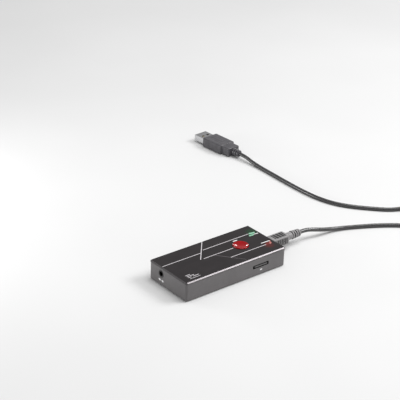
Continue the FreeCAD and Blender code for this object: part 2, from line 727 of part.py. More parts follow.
def make_switch():
    spot = (BUTTON_X, BUTTON_Y)
    sides = ("switch_side", "switch_side")
    well = f"({BOARD_TOP} + switch_floor)"
    lid_bottom = f"({SWITCH_TOP} - switch_lid)"
    case = centred_block(spot, BOARD_TOP, (*sides, "switch_base_height"))
    named(cut(case, rod((*spot, well), "switch_well_radius", "switch_base_height")), "switch_base")
    lid = centred_block(spot, lid_bottom, (*sides, "switch_lid"))
    hole = rod((*spot, lid_bottom), "plunger_radius + light_gap", "switch_lid")
    named(cut(lid, hole), "switch_cover")
    foot = f"({well} + dome_height + button_travel + screw_slack)"
    shank = rod((*spot, foot), "plunger_radius", f"{SWITCH_TOP} + plunger_proud - {foot}")
    flange = rod((*spot, foot), "plunger_radius + plunger_flange", f"{lid_bottom} - screw_slack - {foot}")
    named(fused([shank, flange]), "switch_plunger")
    outer = taper((*spot, well), "switch_well_radius - light_gap", "switch_well_radius / 3", "dome_height")
    inner_low = (*spot, f"{well} - dome_gauge")
    inner = taper(inner_low, "switch_well_radius - light_gap", "switch_well_radius / 3", "dome_height")
    named(cut(outer, inner), "switch_dome")


def make_light(colour, y):
    lamp_sides = ("led_length", "led_width", "led_height")
    named(centred_block((LIGHT_X, y), BOARD_TOP, lamp_sides), f"{colour}_led")
    bottom = f"({BOARD_TOP} + led_height + fit_gap)"
    body = new_body(f"{colour}_light_pipe")
    drawing = sketch(body, "XY_Plane", (LIGHT_X, y, bottom))
    slanted_window(drawing, "0")
    pad(body, drawing, f"{CASE_TOP} - {bottom}")
    drawing = sketch(body, "XY_Plane", (LIGHT_X, y, HOUSING_TOP))
    slanted_window(drawing, "light_flange")
    pad(body, drawing, "light_flange_height", reverse=True)


# ------------------------------------------------------------------ main board and what is soldered to it

def make_main_board():
    body = new_body("main_board")
    drawing = sketch(body, "XY_Plane", ("0", "0", BOARD_UNDER))
    rectangle(drawing, f"{CAVITY_LENGTH} - 2 * board_gap", f"{CAVITY_WIDTH} - 2 * board_gap")
    pad(body, drawing, "board_thickness")
    dress(body, "Fillet", "cavity_corner", upright)
    drawing = sketch(body, "XY_Plane", ("0", "0", BOARD_TOP))
    screw_spots(drawing, "screw_radius + screw_clearance")
    pocket(body, drawing, "board_thickness")


def lead_rows(chip, count, pitch, along_y):
    """Two rows of short flat leads on opposite sides of a chip."""
    _, x, y, length, width, _ = chip
    side = (width if along_y else length) / 2
    leads = []
    for row in (-1, 1):
        out = f"{row} * ({side} + lead_reach / 2)"
        for i in range(count):
            along = f"{(i - (count - 1) / 2) * pitch:.3f}"
            if along_y:
                spot, lengths = (f"{x} + {along}", f"{y} + {out}"), ("lead_width", "lead_reach", "lead_rise")
            else:
                spot, lengths = (f"{x} + {out}", f"{y} + {along}"), ("lead_reach", "lead_width", "lead_rise")
            leads.append(centred_block(spot, BOARD_TOP, lengths))
    return leads


def make_chips():
    for label, x, y, length, width, height in CHIPS:
        sides = (str(length), str(width), str(height))
        named(centred_block((str(x), str(y)), f"{BOARD_TOP} + lead_rise", sides), label)
    leads = []
    for label, count, pitch, along_y in LEAD_ROWS:
        chip = next(entry for entry in CHIPS if entry[0] == label)
        leads += lead_rows(chip, count, pitch, along_y)
    named(group(leads), "chip_leads")


def make_power_parts():
    cans = []
    for spot in CAN_SPOTS:
        base = centred_block(spot, BOARD_TOP, ("2 * can_radius + 0.2", "2 * can_radius + 0.2", "can_base"))
        can = rod((*spot, f"{BOARD_TOP} + can_base"), "can_radius", "can_height")
        cans.append(fused([base, can]))
    named(group(cans), "electrolytic_capacitors")
    core = centred_block(INDUCTOR_SPOT, BOARD_TOP, ("inductor_side", "inductor_side", "inductor_height"))
    groove_bottom = f"{BOARD_TOP} + inductor_height - inductor_groove"
    groove_outside = "inductor_side / 2 - lead_width"
    rim = rod((*INDUCTOR_SPOT, groove_bottom), groove_outside, "inductor_groove")
    hub = rod((*INDUCTOR_SPOT, groove_bottom), "inductor_hub", "inductor_groove")
    named(cut(core, cut(rim, hub)), "power_inductor")
    regulator = centred_block(REGULATOR_SPOT, BOARD_TOP, ("6.4", "3.4", "1.6"))
    tab = centred_block(REGULATOR_TAB_SPOT, BOARD_TOP, ("3", "1", "0.3"))
    named(fused([regulator, tab]), "voltage_regulator")
    named(centred_block(CRYSTAL_SPOT, BOARD_TOP, ("5", "3.2", "1.1")), "crystal_can")


def make_passives():
    """Two rows of small chips between the processor and the walls."""
    capacitors = []
    resistors = []
    for i in range(PASSIVE_COUNT):
        x = f"{PASSIVE_START + i * PASSIVE_PITCH:.1f}"
        capacitors.append(centred_block((x, CAPACITOR_ROW), BOARD_TOP, ("1", "2", "0.9")))
        resistors.append(centred_block((x, RESISTOR_ROW), BOARD_TOP, ("0.8", "1.6", "0.5")))
    named(group(capacitors), "ceramic_capacitors")
    named(group(resistors), "resistors")


# ------------------------------------------------------------------ audio jack

def make_jack():
    body = new_body("jack_housing")
    top = f"({JACK_Z} + jack_bore_radius + jack_crown)"
    drawing = sketch(body, "YZ_Plane", ("0", "0", JACK_X))
    rectangle(drawing, "jack_body_width", f"{top} - {BOARD_TOP}", JACK_Y, f"({top} + {BOARD_TOP}) / 2")
    pad(body, drawing, "jack_body_length")
    drawing = sketch(body, "YZ_Plane", (JACK_Y, JACK_Z, JACK_X))
    circle(drawing, "jack_bore_radius")
    pocket(body, drawing, "jack_bore_depth", reverse=True)
    # Two side windows hold the contact springs just outside the bore.
    drawing = sketch(body, "XY_Plane", (JACK_MIDDLE, JACK_Y, f"{JACK_Z} + jack_window_rise"))
    rectangle(drawing, "jack_bore_depth / 2", "2 * jack_body_width")
    pocket(body, drawing, "2 * jack_window_rise")
    make_jack_contacts()
    ring_start = f"(-{HOUSING_LENGTH} / 2 - jack_bezel_proud)"
    ring_length = f"{JACK_X} - {ring_start}"
    outer = rod((ring_start, JACK_Y, JACK_Z), "jack_bezel_radius", ring_length, "+X")
    bore = rod((ring_start, JACK_Y, JACK_Z), "jack_bore_radius", ring_length, "+X")
    named(cut(outer, bore), "jack_bezel")


def make_jack_contacts():
    """A leaf in each side window, with its leg down the outside of the body to the board."""
    contacts = []
    leaf_bottom = f"{JACK_Z} - jack_leaf_rise"
    leaf_length = "jack_bore_depth / 2 - 2 * jack_leaf_gap"
    leaf_width = "jack_body_width / 2 - jack_bore_radius - jack_leaf_gap"
    for side in (-1, 1):
        leaf_y = f"{JACK_Y} + {side} * (jack_bore_radius + jack_body_width / 2) / 2"
        leaf_sides = (leaf_length, leaf_width, "2 * jack_leaf_rise")
        leaf = centred_block((JACK_MIDDLE, leaf_y), leaf_bottom, leaf_sides)
        leg_y = f"{JACK_Y} + {side} * (jack_body_width + jack_contact_gauge) / 2"
        leg_sides = ("jack_leg_width", "jack_contact_gauge", f"{JACK_Z} + jack_leaf_rise - {BOARD_TOP}")
        leg = centred_block((JACK_MIDDLE, leg_y), BOARD_TOP, leg_sides)
        bridge_y = f"{JACK_Y} + {side} * (jack_body_width / 2)"
        bridge_sides = ("jack_leg_width", "2 * jack_contact_gauge", "2 * jack_leaf_rise")
        bridge = centred_block((JACK_MIDDLE, bridge_y), leaf_bottom, bridge_sides)
        contacts.append(fused([leaf, bridge, leg]))
    named(group(contacts), "jack_contacts")


# ------------------------------------------------------------------ memory card and its socket

def make_card_socket():
    base_low = (less_half(CARD_X, SOCKET_WIDTH), SOCKET_FRONT, BOARD_TOP)
    base = block(base_low, (SOCKET_WIDTH, f"{SOCKET_BACK} - {SOCKET_FRONT}", "socket_base_height"))
    side_height = f"{SOCKET_ROOF} - {BOARD_TOP}"
    rail = block(base_low, ("socket_rail", f"{SOCKET_BACK} - {SOCKET_FRONT}", side_height))
    stop_low = (less_half(CARD_X, SOCKET_WIDTH), SOCKET_STOP, BOARD_TOP)
    stop = block(stop_low, (SOCKET_WIDTH, "socket_stop", side_height))
    named(fused([base, rail, stop]), "card_socket_base")
    make_socket_shell()
    make_card_contacts()
    make_ejector()


def make_socket_shell():
    outer_width = f"({SOCKET_WIDTH} + 2 * socket_sheet)"
    depth = f"({SOCKET_BACK} - {SOCKET_FRONT})"
    outer_low = (less_half(CARD_X, outer_width), SOCKET_FRONT, BOARD_TOP)
    outer = block(outer_low, (outer_width, depth, f"{SOCKET_ROOF} + socket_sheet - {BOARD_TOP}"))
    inner_low = (less_half(CARD_X, SOCKET_WIDTH), SOCKET_FRONT, BOARD_TOP)
    inner = block(inner_low, (SOCKET_WIDTH, depth, f"{SOCKET_ROOF} - {BOARD_TOP}"))
    window_spot = (CARD_X, f"({SOCKET_FRONT} + {SOCKET_BACK}) / 2")
    window = centred_block(window_spot, SOCKET_ROOF, ("card_width / 2", "card_length / 3", "socket_sheet"))
    named(cut(outer, fused([inner, window])), "card_socket_shell")


def make_card_contacts():
    strips = []
    front = f"{SOCKET_STOP} - card_contact_inset - card_contact_length"
    for i in range(CARD_CONTACTS):
        x = f"{CARD_X} + {(i - (CARD_CONTACTS - 1) / 2) * CARD_PITCH:.3f}"
        low = (less_half(x, "card_contact_width"), front, f"{BOARD_TOP} + socket_base_height")
        strips.append(block(low, ("card_contact_width", "card_contact_length", "card_play / 2")))
    named(group(strips), "card_contacts")


def make_ejector():
    """The push-push slider beside the card, and the spring behind it."""
    slot_x = f"({CARD_X} + card_width / 2 + card_play)"
    slider_width = "(socket_rail - 2 * card_play)"
    slider_back = f"({SOCKET_STOP} - card_push - spring_room)"
    low = (f"{slot_x} + card_play", f"{slider_back} - slider_length", CARD_UNDER)
    named(block(low, (slider_width, "slider_length", "card_thickness")), "card_eject_slider")
    spring = named(doc.addObject("Part::Feature", "Spring"), "card_eject_spring")
    wire = size("spring_wire")
    coil_radius = size("card_thickness") / 2 - wire
    length = size("card_push") + size("spring_room") - 4 * wire
    helix = Part.makeHelix(length / SPRING_TURNS, length, coil_radius)
    ring = Part.Wire([Part.Circle(V(coil_radius, 0, 0), V(0, 1, 0), wire).toShape()])
    spring.Shape = Part.Wire(helix.Edges).makePipeShell([ring], True, True)
    spring.Placement = FreeCAD.Placement(V(), FreeCAD.Rotation(V(1, 0, 0), -90))
    middle = f"{slot_x} + socket_rail / 2"
    move(spring, middle, f"{slider_back} + 2 * spring_wire", f"{CARD_UNDER} + card_thickness / 2")


def make_memory_card():
    """A card with a step in one side: its front is wider than the end at the contacts."""
    body = new_body("memory_card")
    drawing = sketch(body, "XY_Plane", (CARD_X, CARD_FRONT, CARD_UNDER))
    half = "card_width / 2"
    corners = [
        (f"-{half}", "0"), (half, "0"), (half, "card_shoulder"),
        (f"{half} - card_step", "card_shoulder + card_step"),
        (f"{half} - card_step", "card_length"), (f"-{half}", "card_length"),
    ]
    outline(drawing, corners)
    pad(body, drawing, "card_thickness")
    front = body.Shape.BoundBox.YMin
    dress(body, "Fillet", "card_play", lambda edge: along_x(edge) and same(edge.BoundBox.YMin, front))


# ------------------------------------------------------------------ USB port

def make_receptacle():
    body = new_body("usb_receptacle_shell")
    front = f"({PORT_FACE} - fit_gap)"
    drawing = sketch(body, "YZ_Plane", ("usb_offset", PORT_Z, front))
    rectangle(drawing, "receptacle_width", "receptacle_height")
    pad(body, drawing, "receptacle_length", reverse=True)
    dress(body, "Fillet", "2 * receptacle_sheet", along_x)
    drawing = sketch(body, "YZ_Plane", ("usb_offset", PORT_Z, front))
    inner_width = "receptacle_width - 2 * receptacle_sheet"
    rectangle(drawing, inner_width, "receptacle_height - 2 * receptacle_sheet")
    pocket(body, drawing, "receptacle_length - receptacle_sheet")
    back = f"({front} - receptacle_length + receptacle_sheet)"
    root_width = f"({inner_width} - 2 * fit_gap)"
    root_height = "(3 * tongue_height)"
    root_low = (back, less_half("usb_offset", root_width), less_half(PORT_Z, root_height))
    root_length = "receptacle_length - receptacle_sheet - tongue_length - tongue_root"
    tongue_low = (back, less_half("usb_offset", "tongue_width"), less_half(PORT_Z, "tongue_height"))
    tongue = block(tongue_low, ("tongue_length + tongue_root", "tongue_width", "tongue_height"))
    named(fused([block(root_low, (root_length, root_width, root_height)), tongue]), "usb_receptacle_tongue")
    strips = usb_strips(f"{back} + {root_length}", "tongue_length - tongue_root",
                        f"{PORT_Z} - tongue_height / 2 - contact_gauge")
    named(group(strips), "usb_receptacle_contacts")


def usb_strips(start, length, bottom):
    strips = []
    for i in range(USB_CONTACTS):
        y = f"usb_offset + {(i - (USB_CONTACTS - 1) / 2) * USB_PITCH:.3f}"
        low = (start, less_half(y, "contact_width"), bottom)
        strips.append(block(low, (length, "contact_width", "contact_gauge")))
    return strips


# ------------------------------------------------------------------ lead, recorder end

def make_device_plug():
    tip = f"({PLUG_FACE} - plug_reach)"
    outer = block((tip, less_half("usb_offset", PLUG_WIDTH), less_half(PORT_Z, PLUG_HEIGHT)),
                  ("plug_reach", PLUG_WIDTH, PLUG_HEIGHT))
    hollow_width = f"({PLUG_WIDTH} - 2 * plug_sheet)"
    hollow_height = f"({PLUG_HEIGHT} - 2 * plug_sheet)"
    hollow_low = (tip, less_half("usb_offset", hollow_width), less_half(PORT_Z, hollow_height))
    hollow_sides = ("plug_reach", hollow_width, hollow_height)
    named(cut(outer, block(hollow_low, hollow_sides)), "device_plug_shell")
    slot_height = "(tongue_height + 4 * plug_play)"
    slot_width = "tongue_width + 2 * plug_play"
    slot_low = (tip, less_half("usb_offset", slot_width), less_half(PORT_Z, slot_height))
    slot = block(slot_low, ("plug_reach - 0.5", slot_width, slot_height))
    named(cut(block(hollow_low, hollow_sides), slot), "device_plug_insulator")
    strips = usb_strips(f"{tip} + 0.4", "plug_reach - 1.4", f"{PORT_Z} - {slot_height} / 2")
    named(group(strips), "device_plug_contacts")
    make_device_grip()
    make_device_boot()


def make_device_grip():
    body = new_body("device_plug_overmould")
    drawing = sketch(body, "YZ_Plane", ("usb_offset", PORT_Z, PLUG_FACE))
    rectangle(drawing, "plug_grip_width", "plug_grip_height")
    pad(body, drawing, "plug_grip_length")
    dress(body, "Fillet", "plug_grip_round", along_x)
    grip_top = f"{PORT_Z} + plug_grip_height / 2"
    drawing = sketch(body, "XY_Plane", (f"{PLUG_FACE} + plug_grip_length / 2", "usb_offset", grip_top))
    rectangle(drawing, "plug_grip_length / 2", "plug_grip_width / 2")
    pocket(body, drawing, "plug_gap")


def ribbed_cone(start, first_radius, last_radius, length, ribs):
    """A tapering strain relief along +X with raised ribs."""
    x, y, z = start
    pieces = [taper(start, first_radius, last_radius, length, "+X")]
    for i in range(ribs):
        share = (i + 0.6) / (ribs + 0.4)
        radius = f"{first_radius} + ({last_radius} - {first_radius}) * {share:.3f} + boot_rib"
        pieces.append(rod((f"{x} + {length} * {share:.3f}", y, z), radius, f"{length} / {3 * ribs}", "+X"))
    return fused(pieces)


def make_device_boot():
    start = (BOOT_FACE, "usb_offset", PORT_Z)
    named(ribbed_cone(start, "boot_big_radius", "boot_small_radius", "boot_length", DEVICE_BOOT_RIBS),
          "device_plug_boot")


# ------------------------------------------------------------------ lead, cord

def bend(before, corner, after):
    """Start, middle and end of the arc that rounds one point of the route, and its radius."""
    arriving = (corner - before).normalize()
    leaving = (after - corner).normalize()
    half_turn = arriving.getAngle(leaving) / 2
    reach = ARC_SHARE * min((corner - before).Length, (after - corner).Length)
    radius = reach / math.tan(half_turn)
    inward = (leaving - arriving).normalize()
    middle = corner + inward * (radius / math.cos(half_turn) - radius)
    return corner - arriving * reach, middle, corner + leaving * reach, radius


def cord_tube(points, label):
    """A tube along straight runs joined by tangent arcs."""
    edges = []
    radii = []
    at = points[0]
    for before, corner, after in zip(points, points[1:], points[2:]):
        start, middle, end, radius = bend(before, corner, after)
        edges.append(Part.LineSegment(at, start).toShape())
        edges.append(Part.Arc(start, middle, end).toShape())
        radii.append(radius)
        at = end
    edges.append(Part.LineSegment(at, points[-1]).toShape())
    path = Part.Wire(edges)
    ring = Part.Circle(points[0], points[1] - points[0], size("cord_radius")).toShape()
    tube = named(doc.addObject("Part::Feature", label), label)
    tube.Shape = path.makePipeShell([Part.Wire([ring])], True, False)
    expected = math.pi * size("cord_radius") ** 2 * path.Length
    print(f"{label}: length {path.Length:.1f}, volume {tube.Shape.Volume:.1f} of {expected:.1f}, radii",
          ", ".join(f"{radius:.0f}" for radius in radii))


def route_points(route):
    """The route in the box's frame. Its X is counted from the cover's USB end."""
    return [V(x + size("case_length") / 2, y, z) for x, y, z in route]


def plug_axis_height():
    board = sum(size(word) for word in ("foot_proud", "floor_thickness", "standoff_height", "board_thickness"))
    return board + size("receptacle_height") / 2


def cord_start():
    reach = size("plug_gap") + size("plug_grip_length") + size("boot_length") - size("cover_overhang")
    return V(size("case_length") / 2 + reach, size("usb_offset"), plug_axis_height())


def host_end():
    x = size("case_length") / 2 + size("host_plug_x")
    return V(x, size("host_plug_y"), size("host_grip_height") / 2)


def host_direction():
    heading = math.radians(size("host_heading"))
    return V(math.cos(heading), math.sin(heading), 0)


def make_cords():
    start, end = cord_start(), host_end()
    lead_out = size("cord_lead_out")
    device_points = [start, start + V(lead_out, 0, 0)] + route_points(DEVICE_ROUTE)
    host_points = route_points(HOST_ROUTE) + [end - host_direction() * lead_out, end]
    cord_tube(device_points, "lead_cord_device_run")
    make_coil(device_points[-2:], host_points[:2])
    cord_tube(host_points, "lead_cord_host_run")


def make_coil(arriving, leaving):
    """The outer shape of the wound cord, with the two ends of the winding standing out of it."""
    centre = V(size("case_length") / 2 + size("coil_x"), size("coil_y"), 0)
    inner, outer, height = size("coil_inner_radius"), size("coil_outer_radius"), size("coil_height")
    side = 2 * size("cord_radius")
    crown_inner = (inner + outer - size("coil_crown_width")) / 2
    crown_outer = (inner + outer + size("coil_crown_width")) / 2
    section = [
        (inner, 0), (outer, 0), (outer, side), (crown_outer, height), (crown_inner, height), (inner, side),
    ]
    corners = [centre + V(radius, 0, z) for radius, z in section]
    ring = Part.Face(Part.makePolygon(corners + corners[:1])).revolve(centre, V(0, 0, 1), 360)
    coil = named(doc.addObject("Part::Feature", "lead_coil"), "lead_coil")
    stubs = [coil_stub(arriving[1], arriving[1] - arriving[0]), coil_stub(leaving[0], leaving[0] - leaving[1])]
    coil.Shape = Part.Solid(Part.Shell(ring.Faces)).fuse(stubs).removeSplitter()


def coil_stub(start, direction):
    return Part.makeCylinder(size("cord_radius"), STUB_LENGTH, start, direction)


def make_coil_tie():
    """A flat band round the bundle, across the side of the coil that faces +X."""
    inner, outer = "(coil_inner_radius - tie_thickness)", "(coil_outer_radius + tie_thickness)"
    x = f"(case_length / 2 + coil_x + {inner})"
    low_y = less_half("coil_y", "tie_width")
    width = f"{outer} - {inner}"
    band = block((x, low_y, "0"), (width, "tie_width", "coil_height + tie_thickness"))
    hole_low = (f"{x} + tie_thickness", low_y, "tie_thickness")
    hole = block(hole_low, (f"{width} - 2 * tie_thickness", "tie_width", "coil_height - tie_thickness"))
    named(cut(band, hole), "coil_tie")


# ------------------------------------------------------------------ lead, computer end

def at_host(thing):
    """Turn a piece drawn along +X from the origin to where the plug lies."""
    end = host_end()
    thing.Placement = FreeCAD.Placement(end, FreeCAD.Rotation(V(0, 0, 1), size("host_heading")))
    move(thing, "case_length / 2 + host_plug_x", "host_plug_y", "host_grip_height / 2")
    return thing


def make_host_plug():
    origin = ("0", "0", "0")
    boot = ribbed_cone(origin, "boot_small_radius", "host_boot_big_radius", "host_boot_length", HOST_BOOT_RIBS)
    named(at_host(group([boot])), "host_plug_boot")
    make_host_grip()
    inside_width = "(host_shell_width - 2 * host_sheet)"
    inside_height = "(host_shell_height - 2 * host_sheet)"
    outer = block((HOST_FACE, less_half("0", "host_shell_width"), less_half("0", "host_shell_height")),
                  ("host_shell_length", "host_shell_width", "host_shell_height"))
    inner = block((HOST_FACE, less_half("0", inside_width), less_half("0", inside_height)),
                  ("host_shell_length", inside_width, inside_height))
    hole_sides = ("host_latch_length", "host_latch_width", "host_shell_height")
    hole_spots = [(f"{HOST_FACE} + host_latch_reach", f"{side} * host_latch_offset") for side in (-1, 1)]
    holes = [centred_block(spot, "-host_shell_height / 2", hole_sides) for spot in hole_spots]
    named(at_host(group([cut(cut(outer, inner), fused(holes))])), "host_plug_shell")
    tongue_low = (HOST_FACE, less_half("0", inside_width), f"-{inside_height} / 2")
    tongue = block(tongue_low, ("host_shell_length - host_contact_width / 2", inside_width,
                                f"{inside_height} / 2 - host_contact_gauge"))
    named(at_host(group([tongue])), "host_plug_insulator")
    strips = []
    for y in HOST_CONTACT_SPOTS:
        start = f"{HOST_FACE} + host_contact_width / 2"
        low = (start, less_half(f"{y}", "host_contact_width"), "-host_contact_gauge")
        length = "host_shell_length - 2.5 * host_contact_width"
        strips.append(block(low, (length, "host_contact_width", "host_contact_gauge")))
    named(at_host(group(strips)), "host_plug_contacts")


def make_host_grip():
    body = new_body("host_plug_overmould")
    drawing = sketch(body, "YZ_Plane", ("0", "0", "host_boot_length"))
    rectangle(drawing, "host_neck_width", "host_neck_height")
    pad(body, drawing, "host_neck_length")
    drawing = sketch(body, "YZ_Plane", ("0", "0", "host_boot_length + host_neck_length"))
    rectangle(drawing, "host_grip_width", "host_grip_height")
    pad(body, drawing, "host_grip_length")
    dress(body, "Fillet", "plug_grip_round", along_x)
    at_host(body)


# ------------------------------------------------------------------ build, check and write

def check_document():
    doc.recompute()
    for item in doc.Objects:
        faults = [word for word in item.State if word in ("Invalid", "Error")]
        assert not faults, f"{item.Label} is {faults}"
    for part in subparts:
        assert not part.Shape.isNull(), f"{part.Label} has no shape"
        assert part.Shape.isValid(), f"{part.Label} is not valid"


def write_parts():
    os.makedirs("parts", exist_ok=True)
    for part in subparts:
        part.Shape.exportStep(f"parts/{part.Label}.step")
    print(f"{len(subparts)} nodes, {sum(len(part.Shape.Solids) for part in subparts)} solids")


make_housing()
make_top_cover()
make_cover_screws()
make_rubber_feet()
make_button_cap()
make_switch()
make_light("green", GREEN_Y)
make_light("red", RED_Y)
make_main_board()
make_chips()
make_power_parts()
make_passives()
make_jack()
make_card_socket()
make_memory_card()
make_receptacle()
make_device_plug()
make_cords()
make_coil_tie()
make_host_plug()
check_document()
write_parts()
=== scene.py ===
import json
import math

import bmesh
import bpy
from mathutils import Matrix, Vector


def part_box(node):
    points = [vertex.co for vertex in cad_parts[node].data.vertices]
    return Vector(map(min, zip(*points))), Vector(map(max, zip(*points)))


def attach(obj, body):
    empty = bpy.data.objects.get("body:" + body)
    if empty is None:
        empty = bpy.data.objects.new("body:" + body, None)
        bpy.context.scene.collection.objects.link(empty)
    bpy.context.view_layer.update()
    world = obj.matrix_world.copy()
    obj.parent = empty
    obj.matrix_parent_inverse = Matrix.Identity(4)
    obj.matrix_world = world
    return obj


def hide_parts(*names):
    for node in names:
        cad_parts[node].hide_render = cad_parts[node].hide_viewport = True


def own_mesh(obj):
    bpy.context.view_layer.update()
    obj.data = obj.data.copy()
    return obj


# A USB capture recorder with its lead. Everything is in metres in the CAD's frame: +X runs from
# the jack end to the USB end, the card slot is in the -Y side and +Z is up. Sizes are written in
# millimetres and scaled.

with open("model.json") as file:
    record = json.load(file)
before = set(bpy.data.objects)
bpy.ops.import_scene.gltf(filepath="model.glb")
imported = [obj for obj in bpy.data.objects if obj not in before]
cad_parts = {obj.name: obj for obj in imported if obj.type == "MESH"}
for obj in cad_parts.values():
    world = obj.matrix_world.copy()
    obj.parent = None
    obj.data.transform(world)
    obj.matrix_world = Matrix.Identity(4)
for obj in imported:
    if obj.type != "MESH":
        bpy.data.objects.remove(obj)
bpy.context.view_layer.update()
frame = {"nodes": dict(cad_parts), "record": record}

MM = 0.001


def mm(*values):
    """A point or a list of sizes given in millimetres."""
    return Vector(values) * MM


# ---------------------------------------------------------------- places read from the frame

COVER_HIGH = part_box("top_cover")[1]
WALL_LOW, WALL_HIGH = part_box("housing")
BUTTON_LOW, BUTTON_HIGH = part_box("button_cap")
GRIP_LOW, GRIP_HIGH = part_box("device_plug_overmould")
BOOT_LOW, BOOT_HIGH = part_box("device_plug_boot")
BEZEL_LOW, BEZEL_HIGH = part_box("jack_bezel")
TIE_LOW, TIE_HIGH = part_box("coil_tie")

TOP = COVER_HIGH.z
BUTTON_CENTRE = (BUTTON_LOW + BUTTON_HIGH) / 2
PLUG_AXIS = (GRIP_LOW + GRIP_HIGH) / 2
JACK_AXIS = (BEZEL_LOW + BEZEL_HIGH) / 2

# Edges of the case, in millimetres.
BEVEL = 0.7  # cut round the cover's top
COVER_CORNER = 1.2
WALL_CORNER = 1.6
BASE_ROUND = 0.4

# ---------------------------------------------------------------- route of the lead

CORD_RADIUS = 1.5
USB_END = 43.0  # the cover's USB end, from which the route's X is counted
DEVICE_ROUTE = [
    (31.65, 0.3, 7.55),
    (38.15, 0.3, 7.55),
    (45.0, -1.4, 6.3),
    (53.0, -2.4, 4.2),
    (62.0, -2.8, 2.3),
    (72.0, -5.6, 1.5),
    (82.0, -10.4, 1.5),
    (92.0, -15.6, 1.5),
    (100.5, -20.8, 1.5),
    (109.0, -27.2, 1.5),
    (115.2, -34.6, 1.5),
    (120.4, -42.5, 1.5),
]
HOST_ROUTE = [
    (143.0, -19.1, 4.2),
    (135.8, -13.2, 2.9),
    (128.1, -7.8, 1.5),
    (120.1, -4.2, 1.5),
    (112.1, 3.4, 1.5),
    (104.1, 11.7, 1.5),
    (97.1, 20.5, 1.5),
    (91.7, 30.9, 1.5),
    (88.7, 44.1, 1.5),
    (87.9, 59.3, 1.5),
    (88.2, 76.9, 1.5),
    (89.0, 94.5, 1.5),
    (89.5, 109.2, 1.5),
    (89.6, 119.0, 2.3),
    (89.63, 127.91, 4.0),
    (89.24, 134.4, 4.0),
]
HOST_HEADING = math.radians(93.4)  # the way the computer's plug points, from +X
HOST_END = HOST_ROUTE[-1]

COIL_CENTRE = (144.3, -42.4)
COIL_START = 213.2  # where the cord meets the coil, in degrees from +X
COIL_TURNED = 1996.8  # how far it winds, counterclockwise
COIL_POINTS = 100
# The six places that the winding takes in turn, as radius and height, and a place that it passes
# on each step from one to the next.
COIL_PLACES = [(20.0, 1.5), (17.0, 1.5), (14.0, 1.5), (15.5, 4.1), (18.5, 4.1), (17.0, 6.7)]
COIL_BOWS = [(18.5, 1.5), (15.5, 1.5), (14.2, 3.0), (17.0, 4.6), (18.2, 5.7)]
COIL_STEP = 40.0  # degrees that a step from place to place takes
COIL_STAGGER = 30.0  # each step comes this much earlier in its turn than the last
COIL_STEP_END = 350.0  # where the first step ends
TIE_LIFT = 0.5
TIE_REACH = 22.0  # degrees either side of the tie over which the winding is lifted


def bowed(start, bow, end, share):
    """A point on the parabola through start, bow and end."""
    turn = [2 * b - (a + c) / 2 for a, b, c in zip(start, bow, end)]
    left, right = (1 - share) ** 2, share ** 2
    return [left * a + 2 * share * (1 - share) * t + right * c for a, t, c in zip(start, turn, end)]


def coil_place(turned):
    """Radius and height of the winding after it has turned this far."""
    for i, bow in enumerate(COIL_BOWS):
        end = 360 * i + COIL_STEP_END - COIL_STAGGER * i
        if turned < end - COIL_STEP:
            return COIL_PLACES[i]
        if turned < end:
            share = (turned - end + COIL_STEP) / COIL_STEP
            return bowed(COIL_PLACES[i], bow, COIL_PLACES[i + 1], share)
    return COIL_PLACES[-1]


def coil_points():
    step = COIL_TURNED / COIL_POINTS
    outside = 1 / math.cos(math.radians(step / 2))  # control points stand outside the curve
    points = []
    for i in range(COIL_POINTS):
        turned = (i + 0.5) * step
        radius, height = coil_place(turned)
        angle = COIL_START + turned
        from_tie = abs((angle + 180) % 360 - 180)
        if from_tie < TIE_REACH:
            height += TIE_LIFT
        x = COIL_CENTRE[0] + radius * outside * math.cos(math.radians(angle))
        y = COIL_CENTRE[1] + radius * outside * math.sin(math.radians(angle))
        points.append((x, y, height))
    return points


def make_cord():
    points = DEVICE_ROUTE + coil_points() + HOST_ROUTE
    curve = bpy.data.curves.new("lead_cord", "CURVE")
    curve.dimensions = "3D"
    curve.resolution_u = 6
    curve.bevel_depth = CORD_RADIUS * MM
    curve.bevel_resolution = 6
    curve.use_fill_caps = True
    spline = curve.splines.new("NURBS")
    spline.points.add(len(points) - 1)
    for point, (x, y, z) in zip(spline.points, points):
        point.co = (*mm(x + USB_END, y, z), 1)
    spline.order_u = 3
    spline.use_endpoint_u = True
    return add_piece("lead_cord", curve, "usb_lead", "cord_black",
                     ["lead_cord_device_run", "lead_coil", "lead_cord_host_run"])


def add_piece(name, data, body, slot, stands_for=(), look=None):
    """A piece on a CAD body. It has its slot's own material unless another look is named."""
    piece = bpy.data.objects.new(name, data)
    bpy.context.scene.collection.objects.link(piece)
    data.materials.append(MATERIALS[look or slot])
    if stands_for:
        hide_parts(*stands_for)
    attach(piece, body)
    return piece


# ---------------------------------------------------------------- materials

